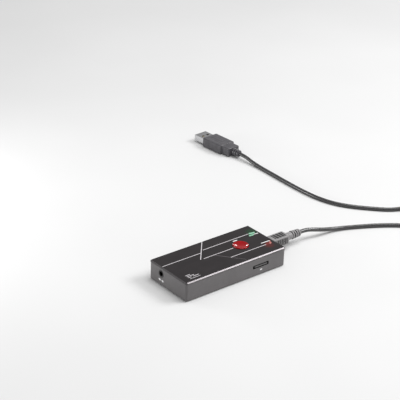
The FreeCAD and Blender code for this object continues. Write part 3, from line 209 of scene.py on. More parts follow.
class Nodes:
    """A material's node tree with short calls for the nodes used here."""

    def __init__(self, name):
        self.material = bpy.data.materials.new(name)
        self.material.use_nodes = True
        self.tree = self.material.node_tree
        self.shader = self.tree.nodes["Principled BSDF"]
        self.place = self.add("ShaderNodeTexCoord").outputs["Object"]

    def add(self, kind, **settings):
        node = self.tree.nodes.new(kind)
        for key, value in settings.items():
            setattr(node, key, value)
        return node

    def link(self, source, target):
        self.tree.links.new(source, target)

    def set(self, **values):
        for key, value in values.items():
            self.shader.inputs[key.replace("_", " ")].default_value = value

    def noise(self, grain, detail=2.0, roughness=0.5, stretch=(1, 1, 1)):
        """Noise whose features are about this many millimetres across."""
        spread = self.add("ShaderNodeMapping")
        spread.inputs["Scale"].default_value = stretch
        self.link(self.place, spread.inputs["Vector"])
        noise = self.add("ShaderNodeTexNoise")
        noise.inputs["Scale"].default_value = 1 / (grain * MM)
        noise.inputs["Detail"].default_value = detail
        noise.inputs["Roughness"].default_value = roughness
        self.link(spread.outputs["Vector"], noise.inputs["Vector"])
        return noise.outputs["Fac"]

    def ranged(self, value, low, high, from_low=0.3, from_high=0.7):
        """A value carried over from one range to another. The usual range is that of a noise."""
        ranged = self.add("ShaderNodeMapRange")
        ranged.inputs["From Min"].default_value = from_low
        ranged.inputs["From Max"].default_value = from_high
        ranged.inputs["To Min"].default_value = low
        ranged.inputs["To Max"].default_value = high
        self.link(value, ranged.inputs["Value"])
        return ranged.outputs["Result"]

    def mixed(self, data_type, socket_type, factor, choices):
        """The output of a node that mixes two choices of one type."""
        mix = self.add("ShaderNodeMix", data_type=data_type)
        self.link(factor, mix.inputs["Factor"])
        for name, choice in zip("AB", choices):
            socket = next(s for s in mix.inputs if s.name == name and s.type == socket_type)
            if isinstance(choice, bpy.types.NodeSocket):
                self.link(choice, socket)
            else:
                socket.default_value = choice
        return next(s for s in mix.outputs if s.type == socket_type)

    def mix(self, factor, *choices):
        """A colour mixed from two, each a colour or an output of another node."""
        choices = [c if isinstance(c, bpy.types.NodeSocket) else (*c, 1) for c in choices]
        return self.mixed("RGBA", "RGBA", factor, choices)

    def scalar_mix(self, factor, *choices):
        """A number mixed from two, each a number or an output of another node."""
        return self.mixed("FLOAT", "VALUE", factor, choices)

    def bump(self, height, depth):
        """Surface relief of this depth in millimetres."""
        bump = self.add("ShaderNodeBump")
        bump.inputs["Distance"].default_value = depth * MM
        self.link(height, bump.inputs["Height"])
        return bump.outputs["Normal"]

    def near(self, centre, radius):
        """1 at a point of the object, falling to 0 at this distance in millimetres."""
        apart = self.add("ShaderNodeVectorMath", operation="DISTANCE")
        self.link(self.place, apart.inputs[0])
        apart.inputs[1].default_value = centre
        return self.ranged(apart.outputs["Value"], 1, 0, 0, radius * MM)

    def vector(self, operation, first, second=None):
        node = self.add("ShaderNodeVectorMath", operation=operation)
        self.link(first, node.inputs[0])
        if second is not None:
            node.inputs[1].default_value = second
        return node.outputs["Value" if operation == "LENGTH" else "Vector"]

    def height(self):
        apart = self.add("ShaderNodeSeparateXYZ")
        self.link(self.place, apart.inputs["Vector"])
        return apart.outputs["Z"]

    def from_rim(self, half_length, half_width, corner):
        """0 well inside a rounded outline, rising to the corner's radius on the outline itself.
        Everything is in metres."""
        flat = self.vector("MULTIPLY", self.vector("ABSOLUTE", self.place), (1, 1, 0))
        beyond = self.vector("SUBTRACT", flat, (half_length - corner, half_width - corner, 0))
        return self.vector("LENGTH", self.vector("MAXIMUM", beyond, (0, 0, 0)))

    def step(self, value, edge, softness=0.02):
        """0 below an edge in metres and 1 above it. The softness is in millimetres."""
        return self.ranged(value, 0, 1, edge - softness * MM, edge + softness * MM)

    def both(self, first, second):
        node = self.add("ShaderNodeMath", operation="MULTIPLY")
        self.link(first, node.inputs[0])
        self.link(second, node.inputs[1])
        return node.outputs["Value"]

    def inverse(self, value):
        return self.ranged(value, 1, 0, 0, 1)

    def colour(self, value):
        self.link(value, self.shader.inputs["Base Color"])

    def roughness(self, value):
        self.link(value, self.shader.inputs["Roughness"])

    def normal(self, value):
        self.link(value, self.shader.inputs["Normal"])


def moulded(name, dark, light, smooth, rough, grain, relief, mottle):
    """Moulded plastic or rubber: slow mottling between two shades, and a fine surface grain."""
    nodes = Nodes(name)
    slow = nodes.noise(mottle, 3)
    fine = nodes.noise(grain, 2, 0.6)
    nodes.colour(nodes.mix(nodes.ranged(slow, 0, 1), dark, light))
    nodes.roughness(nodes.ranged(nodes.noise(mottle / 3, 4), smooth, rough))
    nodes.normal(nodes.bump(fine, relief))
    return nodes.material


def metal(name, dark, light, smooth, rough, stretch, grain):
    """Plated sheet: streaks along the rolling direction in colour, gloss and relief."""
    nodes = Nodes(name)
    nodes.set(Metallic=1.0)
    streaks = nodes.noise(grain, 4, 0.7, stretch)
    nodes.colour(nodes.mix(nodes.ranged(streaks, 0, 1), dark, light))
    nodes.roughness(nodes.ranged(nodes.noise(grain * 3, 3, 0.6, stretch), smooth, rough))
    nodes.normal(nodes.bump(streaks, 0.004))
    return nodes.material


# Centres of the painted glow that the lamps' light leaves on the black cover.
GREEN_PAINTED_GLOW = mm(38.6, 10.9, 14.4)
RED_PAINTED_GLOW = mm(35.4, -11.0, 14.4)


def cover_material():
    """Black gloss top with faint smears and specks, and a painted glow of the lamps' light round
    the lamps. Its cut bevel is uncoated metal, and its side is painted like the housing."""
    nodes = Nodes("cover_black")
    nodes.set(Specular_IOR_Level=0.32)
    smears = nodes.noise(14, 4, 0.6, (1, 1.7, 1))
    base = nodes.mix(
        nodes.ranged(smears, 0, 1), (0.013, 0.0103, 0.0113), (0.020, 0.0160, 0.0175))
    # Painted glow: the lamps' green and red light, mixed into the cover's colour near each lamp.
    base = nodes.mix(nodes.near(GREEN_PAINTED_GLOW, 5.5), base, (0.006, 0.050, 0.016))
    base = nodes.mix(nodes.near(RED_PAINTED_GLOW, 4.6), base, (0.105, 0.008, 0.006))
    specks = nodes.ranged(nodes.noise(0.4, 1, 0.5), 0, 0.22, 0.77, 0.82)
    base = nodes.mix(specks, base, (0.20, 0.19, 0.19))
    gloss = nodes.ranged(nodes.noise(7, 5, 0.65), 0.09, 0.20)
    from_top, from_side, from_inside = 0.04, 0.02, 0.05  # where the zones end, beside the edges
    below_top = nodes.inverse(nodes.step(nodes.height(), COVER_HIGH.z - from_top * MM))
    above_side = nodes.step(nodes.height(), COVER_HIGH.z - (BEVEL + from_side) * MM)
    at_rim = nodes.step(nodes.from_rim(COVER_HIGH.x, COVER_HIGH.y, COVER_CORNER * MM),
                        (COVER_CORNER - BEVEL - from_inside) * MM)
    bevel = nodes.both(nodes.both(below_top, above_side), at_rim)
    side = nodes.inverse(above_side)
    cuts = nodes.noise(0.5, 4, 0.7)
    cut_metal = nodes.mix(cuts, (0.115, 0.108, 0.112), (0.190, 0.178, 0.184))
    base = nodes.mix(bevel, base, cut_metal)
    base = nodes.mix(side, base, (0.075, 0.071, 0.073))
    nodes.colour(base)
    nodes.link(nodes.both(bevel, nodes.inverse(side)), nodes.shader.inputs["Metallic"])
    gloss = nodes.scalar_mix(bevel, gloss, nodes.ranged(cuts, 0.24, 0.38))
    nodes.roughness(nodes.scalar_mix(side, gloss, 0.45))
    nodes.normal(nodes.bump(nodes.noise(5, 2), 0.006))
    return nodes.material


def housing_material():
    """Satin grey paint with a fine grain outside. The openings' cut faces and the inside are near
    black: unpainted plastic, and painted shade that darkens the card slot and the other openings."""
    nodes = Nodes("housing_grey")
    nodes.set(Specular_IOR_Level=0.42)
    slow = nodes.noise(16, 3)
    speck = nodes.noise(0.28, 2, 0.7)
    paint = nodes.mix(nodes.ranged(slow, 0, 1), (0.130, 0.123, 0.125), (0.152, 0.145, 0.147))
    paint = nodes.mix(nodes.ranged(speck, 0, 0.35, 0.5, 0.8), paint, (0.20, 0.195, 0.198))
    paint_depth = 0.1
    outside = nodes.step(nodes.from_rim(WALL_HIGH.x, WALL_HIGH.y, WALL_CORNER * MM),
                         (WALL_CORNER - paint_depth) * MM)
    above_base = nodes.step(nodes.height(), WALL_LOW.z + BASE_ROUND * MM)
    # Near black inside the painted outline: unpainted plastic, and painted shade in the openings.
    bare_and_shaded = nodes.both(nodes.inverse(outside), above_base)
    nodes.colour(nodes.mix(bare_and_shaded, paint, (0.010, 0.010, 0.010)))
    nodes.roughness(nodes.scalar_mix(bare_and_shaded, nodes.ranged(nodes.noise(3, 3), 0.42, 0.56), 0.6))
    nodes.normal(nodes.bump(speck, 0.018))
    return nodes.material


def button_material():
    """Glossy red plastic with a little depth."""
    nodes = Nodes("button_red")
    nodes.set(Specular_IOR_Level=0.27)
    swirl = nodes.noise(3.5, 3)
    nodes.colour(nodes.mix(
        nodes.ranged(swirl, 0, 1), (0.235, 0.0015, 0.0035), (0.36, 0.0025, 0.0055)))
    nodes.roughness(nodes.ranged(nodes.noise(1.6, 3), 0.06, 0.11))
    nodes.normal(nodes.bump(nodes.noise(2.2, 2), 0.006))
    return nodes.material


def lit(name, dark, light, glow, strength):
    """Translucent light pipe, lit from below, with a cloudy, slightly uneven glow."""
    nodes = Nodes(name)
    nodes.set(Specular_IOR_Level=0.5, Emission_Strength=strength)
    cloud = nodes.ranged(nodes.noise(1.4, 3), 0, 1)
    nodes.colour(nodes.mix(cloud, dark, light))
    dim_glow = [0.7 * part for part in glow]
    nodes.link(nodes.mix(cloud, dim_glow, glow), nodes.shader.inputs["Emission Color"])
    nodes.roughness(nodes.ranged(nodes.noise(0.8, 2), 0.18, 0.32))
    nodes.normal(nodes.bump(nodes.noise(0.6, 2), 0.02))
    return nodes.material


def printed(name, dark, light):
    """Screen-printed ink: thin in places and slightly rough."""
    nodes = Nodes(name)
    nodes.set(Specular_IOR_Level=0.4)
    cover = nodes.ranged(nodes.noise(0.5, 3, 0.6), 0, 1, 0.25, 0.6)
    nodes.colour(nodes.mix(cover, dark, light))
    nodes.roughness(nodes.ranged(nodes.noise(0.4, 2), 0.35, 0.55))
    nodes.normal(nodes.bump(nodes.noise(0.2, 2), 0.006))
    return nodes.material


def board_material():
    """Green solder mask over a maze of tracks, with small plated vias."""
    nodes = Nodes("board_green")
    nodes.set(Specular_IOR_Level=0.5)
    bricks = nodes.add("ShaderNodeTexBrick")
    nodes.link(nodes.place, bricks.inputs["Vector"])
    bricks.inputs["Scale"].default_value = 420
    bricks.inputs["Mortar Size"].default_value = 0.03
    bricks.inputs["Color1"].default_value = (0.010, 0.105, 0.040, 1)
    bricks.inputs["Color2"].default_value = (0.012, 0.125, 0.048, 1)
    bricks.inputs["Mortar"].default_value = (0.030, 0.210, 0.085, 1)
    vias = nodes.add("ShaderNodeTexVoronoi")
    vias.inputs["Scale"].default_value = 330
    nodes.link(nodes.place, vias.inputs["Vector"])
    ring = nodes.ranged(vias.outputs["Distance"], 1, 0, 0.07, 0.10)
    nodes.colour(nodes.mix(ring, bricks.outputs["Color"], (0.42, 0.42, 0.38)))
    nodes.roughness(nodes.ranged(nodes.noise(4, 3), 0.28, 0.42))
    nodes.normal(nodes.bump(bricks.outputs["Fac"], 0.02))
    return nodes.material


def cord_material():
    """Soft PVC jacket with faint scuffs."""
    nodes = Nodes("cord_black")
    nodes.set(Specular_IOR_Level=0.9)
    scuff = nodes.noise(2.2, 4, 0.65)
    nodes.colour(nodes.mix(
        nodes.ranged(scuff, 0, 1), (0.018, 0.0173, 0.018), (0.031, 0.0295, 0.0302)))
    nodes.roughness(nodes.ranged(nodes.noise(1.1, 3), 0.24, 0.34))
    nodes.normal(nodes.bump(nodes.noise(0.5, 3), 0.006))
    return nodes.material


def strap_material():
    """Hook-and-loop band: short matted loops."""
    nodes = Nodes("tie_black")
    nodes.set(Sheen_Weight=0.4, Sheen_Roughness=0.6)
    loops = nodes.add("ShaderNodeTexVoronoi")
    loops.inputs["Scale"].default_value = 3200
    nodes.link(nodes.place, loops.inputs["Vector"])
    height = nodes.ranged(loops.outputs["Distance"], 1, 0, 0, 0.8)
    nodes.colour(nodes.mix(height, (0.012, 0.012, 0.013), (0.055, 0.054, 0.056)))
    nodes.roughness(nodes.ranged(nodes.noise(0.6, 3), 0.75, 0.95))
    nodes.normal(nodes.bump(height, 0.09))
    return nodes.material


# Moulded plastics and rubbers: dark and light shade, least and most roughness, and the grain, its
# relief and the mottling in millimetres.
MOULDED = {
    "foot_rubber": ((0.016, 0.016, 0.016), (0.030, 0.029, 0.029), 0.65, 0.85, 0.3, 0.03, 9.0),
    "lamp_body": ((0.72, 0.69, 0.58), (0.84, 0.82, 0.72), 0.4, 0.55, 0.2, 0.006, 2.0),
    "chip_black": ((0.018, 0.018, 0.018), (0.032, 0.031, 0.030), 0.45, 0.65, 0.18, 0.010, 3.0),
    "plain_plastic": ((0.030, 0.030, 0.031), (0.044, 0.043, 0.043), 0.38, 0.55, 0.3, 0.010, 9.0),
    "ceramic": ((0.38, 0.26, 0.14), (0.52, 0.38, 0.22), 0.45, 0.6, 0.15, 0.008, 0.8),
    "card_black": ((0.105, 0.101, 0.103), (0.135, 0.131, 0.133), 0.42, 0.55, 0.2, 0.008, 4.0),
    "mould_grey": ((0.215, 0.208, 0.212), (0.275, 0.267, 0.271), 0.36, 0.50, 0.25, 0.016, 5.0),
    "host_mould": ((0.056, 0.053, 0.060), (0.084, 0.080, 0.088), 0.27, 0.33, 0.25, 0.016, 5.0),
    # A darker moulding that is painted shade in the plugs' recesses.
    "mould_painted_shade": ((0.012, 0.012, 0.012), (0.026, 0.025, 0.026), 0.5, 0.7, 0.25, 0.010, 4.0),
    "jack_ring": ((0.012, 0.012, 0.012), (0.024, 0.023, 0.023), 0.22, 0.36, 0.3, 0.006, 9.0),
}
# Metals: dark and light shade, least and most roughness, the streaks' stretch and their grain.
METALS = {
    "screw_steel": ((0.42, 0.42, 0.43), (0.62, 0.62, 0.62), 0.24, 0.40, (1, 1, 1), 0.5),
    "tin": ((0.55, 0.55, 0.56), (0.74, 0.74, 0.74), 0.28, 0.45, (1, 1, 1), 0.3),
    "sheet_steel": ((0.50, 0.50, 0.51), (0.66, 0.66, 0.67), 0.20, 0.34, (0.25, 1, 1), 0.5),
    "gold": ((0.74, 0.52, 0.20), (0.90, 0.68, 0.30), 0.16, 0.28, (1, 1, 1), 0.25),
}
# Lit plastics: dark and light shade, the glow and its strength.
LIT = {
    "light_plastic_green": ((0.02, 0.10, 0.05), (0.04, 0.17, 0.08), (0.05, 0.35, 0.14), 0.05),
    "light_plastic_red": ((0.10, 0.010, 0.008), (0.17, 0.018, 0.014), (0.40, 0.03, 0.02), 0.04),
    "window_green": ((0.20, 0.42, 0.29), (0.32, 0.60, 0.43), (0.30, 0.70, 0.48), 0.10),
    "window_red": ((0.42, 0.12, 0.11), (0.62, 0.24, 0.21), (0.80, 0.30, 0.26), 0.08),
}
# Inks: where they are thin and where they cover.
INKS = {
    "ink_light": ((0.48, 0.45, 0.47), (0.80, 0.77, 0.79)),
    "ink_faint": ((0.10, 0.09, 0.10), (0.20, 0.18, 0.19)),
    "ink_white": ((0.80, 0.80, 0.80), (0.93, 0.93, 0.93)),
}
MATERIALS = {
    "cover_black": cover_material(),
    "housing_grey": housing_material(),
    "button_red": button_material(),
    "board_green": board_material(),
    "cord_black": cord_material(),
    "tie_black": strap_material(),
}
for make, looks in ((moulded, MOULDED), (metal, METALS), (lit, LIT), (printed, INKS)):
    for look, numbers in looks.items():
        MATERIALS[look] = make(look, *numbers)


def finish_cad_nodes():
    """Each CAD node takes the material of its slot in the record."""
    for part in frame["record"]["subparts"]:
        piece = frame["nodes"][part["node"]]
        piece.data.materials.clear()
        piece.data.materials.append(MATERIALS[part["material_slot"]])


# ---------------------------------------------------------------- mesh helpers

def finished_mesh(name, bm, smooth=True):
    bmesh.ops.recalc_face_normals(bm, faces=bm.faces)
    mesh = bpy.data.meshes.new(name)
    for face in bm.faces:
        face.smooth = smooth
    bm.to_mesh(mesh)
    bm.free()
    return mesh


def skin(bm, rings, closed_ends=True):
    """Faces between rings that have the same number of points."""
    rows = [[bm.verts.new(point) for point in ring] for ring in rings]
    count = len(rows[0])
    faces = []
    for row, after in zip(rows, rows[1:]):
        for i in range(count):
            j = (i + 1) % count
            faces.append(bm.faces.new((row[i], row[j], after[j], after[i])))
    if closed_ends:
        bm.faces.new(rows[0][::-1])
        bm.faces.new(rows[-1])
    return faces


def turned_rings(profile, segments, place):
    """Rings round Z from pairs of radius and height, put in place by a matrix."""
    rings = []
    for radius, height in profile:
        turns = (2 * math.pi * i / segments for i in range(segments))
        rings.append([
            place @ Vector((radius * math.cos(turn), radius * math.sin(turn), height))
            for turn in turns
        ])
    return rings


def looped_mesh(name, rings):
    """A closed mesh from rings whose last lies on the first."""
    bm = bmesh.new()
    skin(bm, rings, closed_ends=False)
    bmesh.ops.remove_doubles(bm, verts=bm.verts, dist=1e-7)
    return finished_mesh(name, bm)


WAVE_EDGE = 0.35  # soft edge of a bar in a row, as a share of half a pitch


def smooth_step(value):
    value = min(max(value, 0), 1)
    return value * value * (3 - 2 * value)


def inside(value, half, edge):
    """1 well inside a band of this half width, 0 outside it, with a soft edge."""
    return smooth_step((half - abs(value)) / edge + 0.5)


def wave(value, pitch, share):
    """A row of soft bars: 1 on a bar and 0 between."""
    off_middle = abs((value / pitch) % 1 - 0.5) * 2
    return smooth_step((share - off_middle) / WAVE_EDGE + 0.5)


def round_outline(half_width, half_height, corner, count):
    """Points round a rectangle with round corners, spaced evenly by length, each with the outward
    direction there."""
    corner = min(corner, half_width, half_height)
    straight = [2 * (half_height - corner), 2 * (half_width - corner)] * 2
    quarter = math.pi / 2 * corner
    total = sum(straight) + 4 * quarter
    points = []
    for i in range(count):
        along = total * i / count
        heading, centre = 0.0, Vector((half_width - corner, -(half_height - corner)))
        for side in range(4):
            out = Vector((math.cos(heading), math.sin(heading)))
            ahead = Vector((-out.y, out.x))
            if along <= straight[side]:
                points.append((centre + out * corner + ahead * along, out))
                break
            along -= straight[side]
            centre = centre + ahead * straight[side]
            if along <= quarter:
                angle = heading + along / corner
                out = Vector((math.cos(angle), math.sin(angle)))
                points.append((centre + out * corner, out))
                break
            along -= quarter
            heading += math.pi / 2
    return points


# Printed bars, in millimetres.
INK_SUNK = 0.01
INK_THICKNESS = 0.03
INK_STEP = 0.005  # each bar is this much thicker than the last, so crossing bars share no face
CAP_STEPS = 4


def bars_mesh(name, bars, place):
    """Thin bars with round ends. A bar is a start, an end and a width in a plane, and place() puts
    a point of the plane in space."""
    bm = bmesh.new()
    for order, (start, end, width) in enumerate(bars):
        start, end = Vector(start), Vector(end)
        along = (end - start).normalized()
        side = Vector((-along.y, along.x))
        inset = min(width / 2, (end - start).length / 2)
        rim = []
        for centre, turn in ((start + along * inset, 90), (end - along * inset, -90)):
            for i in range(CAP_STEPS + 1):
                angle = math.radians(turn + 180 / CAP_STEPS * i)
                rim.append(centre + (along * math.cos(angle) + side * math.sin(angle)) * inset)
        rise = INK_THICKNESS + INK_STEP * order
        lower = [bm.verts.new(place(point.x, point.y, -INK_SUNK)) for point in rim]
        upper = [bm.verts.new(place(point.x, point.y, rise)) for point in rim]
        cap_prism(bm, lower, upper)
    return finished_mesh(name, bm, smooth=False)


def cap_prism(bm, lower, upper):
    """Faces over, under and round two outlines with the same number of points."""
    bm.faces.new(lower[::-1])
    bm.faces.new(upper)
    for i in range(len(lower)):
        j = (i + 1) % len(lower)
        bm.faces.new((lower[i], lower[j], upper[j], upper[i]))


# ---------------------------------------------------------------- printing and lights on the cover

def on_cover(x, y, rise):
    return mm(x, y, 0) + Vector((0, 0, TOP + rise * MM))


def on_end_wall(y, z, rise):
    return Vector((WALL_LOW.x - rise * MM, y * MM, z * MM))


def on_front_wall(x, z, rise):
    return Vector((x * MM, WALL_LOW.y - rise * MM, z * MM))


# Bars as start, end and width, in millimetres.
LINE = 0.5
COVER_LINES = [
    ((-42.2, 7.0), (-9.4, 7.0), LINE),
    ((0.8, 19.1), (-15.7, -0.3), LINE),
    ((-6.0, 9.5), (34.4, 9.5), LINE),
    ((-13.2, -0.3), (12.6, -0.3), LINE),
    ((3.0, -9.4), (34.4, -9.4), LINE),
]
FAINT_LINES = [
    ((-3.4, -1.4), (2.6, -9.0), 0.35),
    ((2.6, -9.3), (9.8, -17.6), 0.25),
]
COVER_MARKS = [
    ((37.2, 7.0), (41.2, 6.6), 0.7),
    ((32.6, -6.2), (40.2, -6.4), 0.75),
    ((18.4, 7.1), (22.2, 7.0), 0.9),
]
LABEL_MARKS = [
    ((-37.4, -11.6), (-33.6, -11.6), 0.5),
    ((-37.4, -13.1), (-31.4, -13.1), 0.5),
    ((-37.4, -14.6), (-34.6, -14.6), 0.5),
    ((-33.4, -14.6), (-28.6, -14.6), 0.5),
    ((-37.4, -16.4), (-28.6, -16.4), 0.35),
]
JACK_MARKS = [((9.9, 4.6), (7.6, 4.3), 1.3), ((6.7, 4.5), (4.5, 4.2), 1.3)]
SLOT_MARKS = [((20.4, 3.9), (22.4, 4.1), 0.95)]

# The lit windows as four-sided facets, and how they stand in the cover.
WINDOW_FACETS = {
    "green": [
        [(34.2, 8.85), (38.9, 7.95), (40.3, 9.3), (35.4, 10.4)],
        [(32.6, 6.2), (36.5, 5.9), (37.4, 7.2), (33.5, 7.8)],
    ],
    "red": [
        [(38.0, -8.6), (39.6, -8.3), (40.5, -6.7), (39.7, -6.6)],
        [(37.0, -10.4), (39.0, -9.9), (39.6, -8.6), (37.9, -8.9)],
    ],
}
WINDOW_PROUD = 0.03
WINDOW_SUNK = 0.02
WINDOW_TOP = 0.95  # a facet's upper face is this share of its base


def make_printing():
    for name, bars, place, ink in (
        ("cover_lines", COVER_LINES, on_cover, "ink_light"),
        ("cover_faint_lines", FAINT_LINES, on_cover, "ink_faint"),
        ("cover_marks", COVER_MARKS, on_cover, "ink_white"),
        ("label_marks", LABEL_MARKS, on_cover, "ink_light"),
        ("jack_marks", JACK_MARKS, on_end_wall, "ink_white"),
        ("slot_mark", SLOT_MARKS, on_front_wall, "ink_white"),
    ):
        add_piece(name, bars_mesh(name, bars, place), "recorder", "cover_black", look=ink)


def window_mesh(name, facets):
    """Facets of a lit window, each a little proud of the cover with bevelled sides."""
    bm = bmesh.new()
    for corners in facets:
        middle = sum((Vector(corner) for corner in corners), Vector((0, 0))) / len(corners)
        inner = [middle + (Vector(corner) - middle) * WINDOW_TOP for corner in corners]
        lower = [bm.verts.new(on_cover(x, y, -WINDOW_SUNK)) for x, y in corners]
        upper = [bm.verts.new(on_cover(x, y, WINDOW_PROUD)) for x, y in inner]
        cap_prism(bm, lower, upper)
    return finished_mesh(name, bm, smooth=False)


def make_windows():
    for colour, facets in WINDOW_FACETS.items():
        name = colour + "_window"
        add_piece(name, window_mesh(name, facets), "recorder", "light_plastic_" + colour,
                  look="window_" + colour)


# ---------------------------------------------------------------- button and jack ring

def arc(centre, radius, start, end, count):
    """Points along an arc, from angle to angle in degrees."""
    angles = [math.radians(start + (end - start) * i / count) for i in range(count + 1)]
    return [(centre[0] + radius * math.cos(a), centre[1] + radius * math.sin(a)) for a in angles]


def make_button():
    """A dished cap with a rounded rim, its retaining flange and its stem."""
    top, low = BUTTON_HIGH.z / MM, BUTTON_LOW.z / MM
    side, flange, stem = 5.7, 6.5, 1.6  # radii
    flange_low, flange_high = top - 5.35, top - 4.55
    flange_cut, stem_cut = 0.15, 0.1
    foot_width, foot_height = 0.05, 0.1  # where the cap's side meets the flange
    rim, rim_end = 0.6, 118  # the rim's radius and the angle where it ends
    dish_edge, dish_depth, dish_drop = 4.6, 0.95, 0.14  # the dish is a cap of a ball
    bow = dish_depth - dish_drop
    ball = (dish_edge ** 2 + bow ** 2) / (2 * bow)
    profile = [(0.01, low), (stem - stem_cut, low), (stem, low + stem_cut), (stem, flange_low)]
    profile += [(flange - flange_cut, flange_low), (flange, flange_low + flange_cut)]
    profile += [(flange, flange_high - flange_cut), (flange - flange_cut, flange_high)]
    profile += [(side + foot_width, flange_high), (side, flange_high + foot_height)]
    profile += arc((side - rim, top - rim), rim, 0, rim_end, 10)
    spread = math.degrees(math.asin(dish_edge / ball))
    profile += arc((0, top + ball - dish_depth), ball, -90 + spread, -90.05, 14)
    place = Matrix.Translation((BUTTON_CENTRE.x, BUTTON_CENTRE.y, 0)) @ Matrix.Scale(MM, 4)
    bm = bmesh.new()
    skin(bm, turned_rings(profile, 96, place))
    mesh = finished_mesh("record_button_cap", bm)
    return add_piece("record_button_cap", mesh, "record_button", "button_red", ["button_cap"])


def make_jack_ring():
    """A ring with a rounded lip and a countersunk mouth."""
    outer, bore = 2.6, 1.8  # radii
    lip, mouth = 0.22, 0.3
    depth = (BEZEL_HIGH.x - BEZEL_LOW.x) / MM
    profile = arc((outer - lip, depth - lip), lip, 0, 90, 5)
    profile += arc((bore + mouth, depth - mouth), mouth, 90, 180, 5)
    profile += [(bore, 0), (outer, 0)]
    place = Matrix.Translation((BEZEL_HIGH.x, JACK_AXIS.y, JACK_AXIS.z))
    place = place @ Matrix.Rotation(-math.pi / 2, 4, "Y") @ Matrix.Scale(MM, 4)
    mesh = looped_mesh("jack_ring", turned_rings(profile + profile[:1], 64, place))
    add_piece("jack_ring", mesh, "recorder", "sheet_steel", ["jack_bezel"], "jack_ring")


# ---------------------------------------------------------------- spring behind the card's slider

SPRING_WIRE = 0.1  # radius
SPRING_TURNS = 7
SPRING_CLOSED = 0.21  # rise of the first and the last turn
SPRING_STEPS = 28  # places per turn
SPRING_SIDES = 8
SPRING_SLOPE = 0.1


def spring_rise(turned, length):
    """How far along the spring its wire is after this many turns. The end turns lie closed."""
    open_rise = (length - 2 * SPRING_CLOSED) / (SPRING_TURNS - 2)
    closed = min(turned, 1) + max(turned - SPRING_TURNS + 1, 0)
    return SPRING_CLOSED * closed + open_rise * (turned - closed)


def make_eject_spring():
    """A compression spring whose end turns lie closed, in the place of the CAD spring."""
    low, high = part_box("card_eject_spring")
    centre = (low + high) / 2
    front = Vector((centre.x, low.y, centre.z))
    radius = (high.x - low.x) / MM / 2 - SPRING_WIRE
    length = (high.y - low.y) / MM
    around = [2 * math.pi * j / SPRING_SIDES for j in range(SPRING_SIDES)]
    rings = []
    for i in range(SPRING_TURNS * SPRING_STEPS + 1):
        turned = i / SPRING_STEPS
        angle = 2 * math.pi * turned
        out = Vector((math.cos(angle), 0, math.sin(angle)))
        rise = spring_rise(turned, length - 2 * SPRING_WIRE)
        ahead = Vector((-math.sin(angle), SPRING_SLOPE, math.cos(angle))).normalized()
        across = ahead.cross(out)
        middle = out * radius + Vector((0, SPRING_WIRE + rise, 0))
        section = [(out * math.cos(b) + across * math.sin(b)) * SPRING_WIRE for b in around]
        rings.append([front + (middle + beside) * MM for beside in section])
    bm = bmesh.new()
    skin(bm, rings)
    mesh = finished_mesh("eject_spring", bm)
    spring = add_piece("eject_spring", mesh, "recorder", "sheet_steel", ["card_eject_spring"])
    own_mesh(spring)


# ---------------------------------------------------------------- plugs and strain reliefs

BLOCK_SIDES = 120
BOOT_SIDES = 72
BLOCK_STEP = 0.2  # millimetres between stations along a block
BOOT_STEP = 0.12
PAINTED_SHADE_DEPTH = 0.16  # recesses deeper than this get painted shade
BLOCK_CORNER = 1.3
RIB_HEIGHT = 0.45

# The grips' relief, in millimetres. A share is how much of a pitch a bar takes.
PAD_DEPTH, BAR_HEIGHT, BAR_PITCH, BAR_SHARE = 0.36, 0.28, 2.6, 0.3
GROOVE_DEPTH, GROOVE_PITCH, GROOVE_SHARE = 0.32, 1.7, 0.45
SEAM_DEPTH, SEAM_HALF_WIDTH, SEAM_EDGE = 0.05, 0.09, 0.12

# The strain reliefs' ribs and slots, as half widths and soft edges in shares of a pitch, and the
# bridges left across the slots, as the cosine where one starts and its soft edge.
RIB_HALF, RIB_EDGE = 0.30, 0.12
SLOT_HALF, SLOT_EDGE, SLOT_DEPTH = 0.33, 0.1, 0.6
BRIDGE_START, BRIDGE_EDGE = 0.86, 0.08


def add_moulding(name, mesh, look, node):
    """A moulded piece of the lead. Its recesses take the second material, a darker moulding as
    painted shade.
    """
    piece = add_piece(name, mesh, "usb_lead", "mould_grey", [node], look)
    piece.data.materials.append(MATERIALS["mould_painted_shade"])
    return piece


def block_mesh(name, stations, relief, place):
    """A moulded block along X. A station is x, half width, half height and corner, and
    relief(x, y, z, out) is how far a point is sunk into the surface, in millimetres."""
    bm = bmesh.new()
    rings, sunk_by = [], []
    for x, half_width, half_height, corner in stations:
        ring, depths = [], []
        for point, out in round_outline(half_width, half_height, corner, BLOCK_SIDES):
            depths.append(relief(x, point.x, point.y, out))
            sunk = point - out * depths[-1]
            ring.append(place @ (Vector((x, sunk.x, sunk.y)) * MM))
        rings.append(ring)
        sunk_by.append(depths)
    paint_shade_in_recesses(skin(bm, rings), sunk_by)
    return finished_mesh(name, bm)


def paint_shade_in_recesses(faces, sunk_by):
    """The second material goes to faces whose corners are sunk deep enough on average, as painted
    shade.
    """
    count = len(sunk_by[0])
    for i, face in enumerate(faces):
        row, here = divmod(i, count)
        beside = (here + 1) % count
        depths = [sunk_by[j][k] for j in (row, row + 1) for k in (here, beside)]
        face.material_index = int(sum(depths) / 4 > PAINTED_SHADE_DEPTH)


def spaced(start, end, step):
    count = max(1, round((end - start) / step))
    return [start + (end - start) * i / count for i in range(count + 1)]


def rounded_end(end, inward, half_width, half_height, corner, radius):
    """Stations that round the edge of a block's end."""
    stations = []
    for angle in range(0, 91, 15):
        turn = math.radians(angle)
        x = end + inward * radius * (1 - math.sin(turn))
        shrink = radius * (1 - math.cos(turn))
        stations.append((x, half_width - shrink, half_height - shrink, max(corner - shrink, 0.1)))
    return stations


def plug_block(start, end, half_width, half_height, corner, radius):
    """Stations of a block with both ends rounded."""
    first = rounded_end(start, 1, half_width, half_height, corner, radius)[::-1]
    last = rounded_end(end, -1, half_width, half_height, corner, radius)
    middle = spaced(start + radius, end - radius, BLOCK_STEP)[1:-1]
    return first + [(x, half_width, half_height, corner) for x in middle] + last


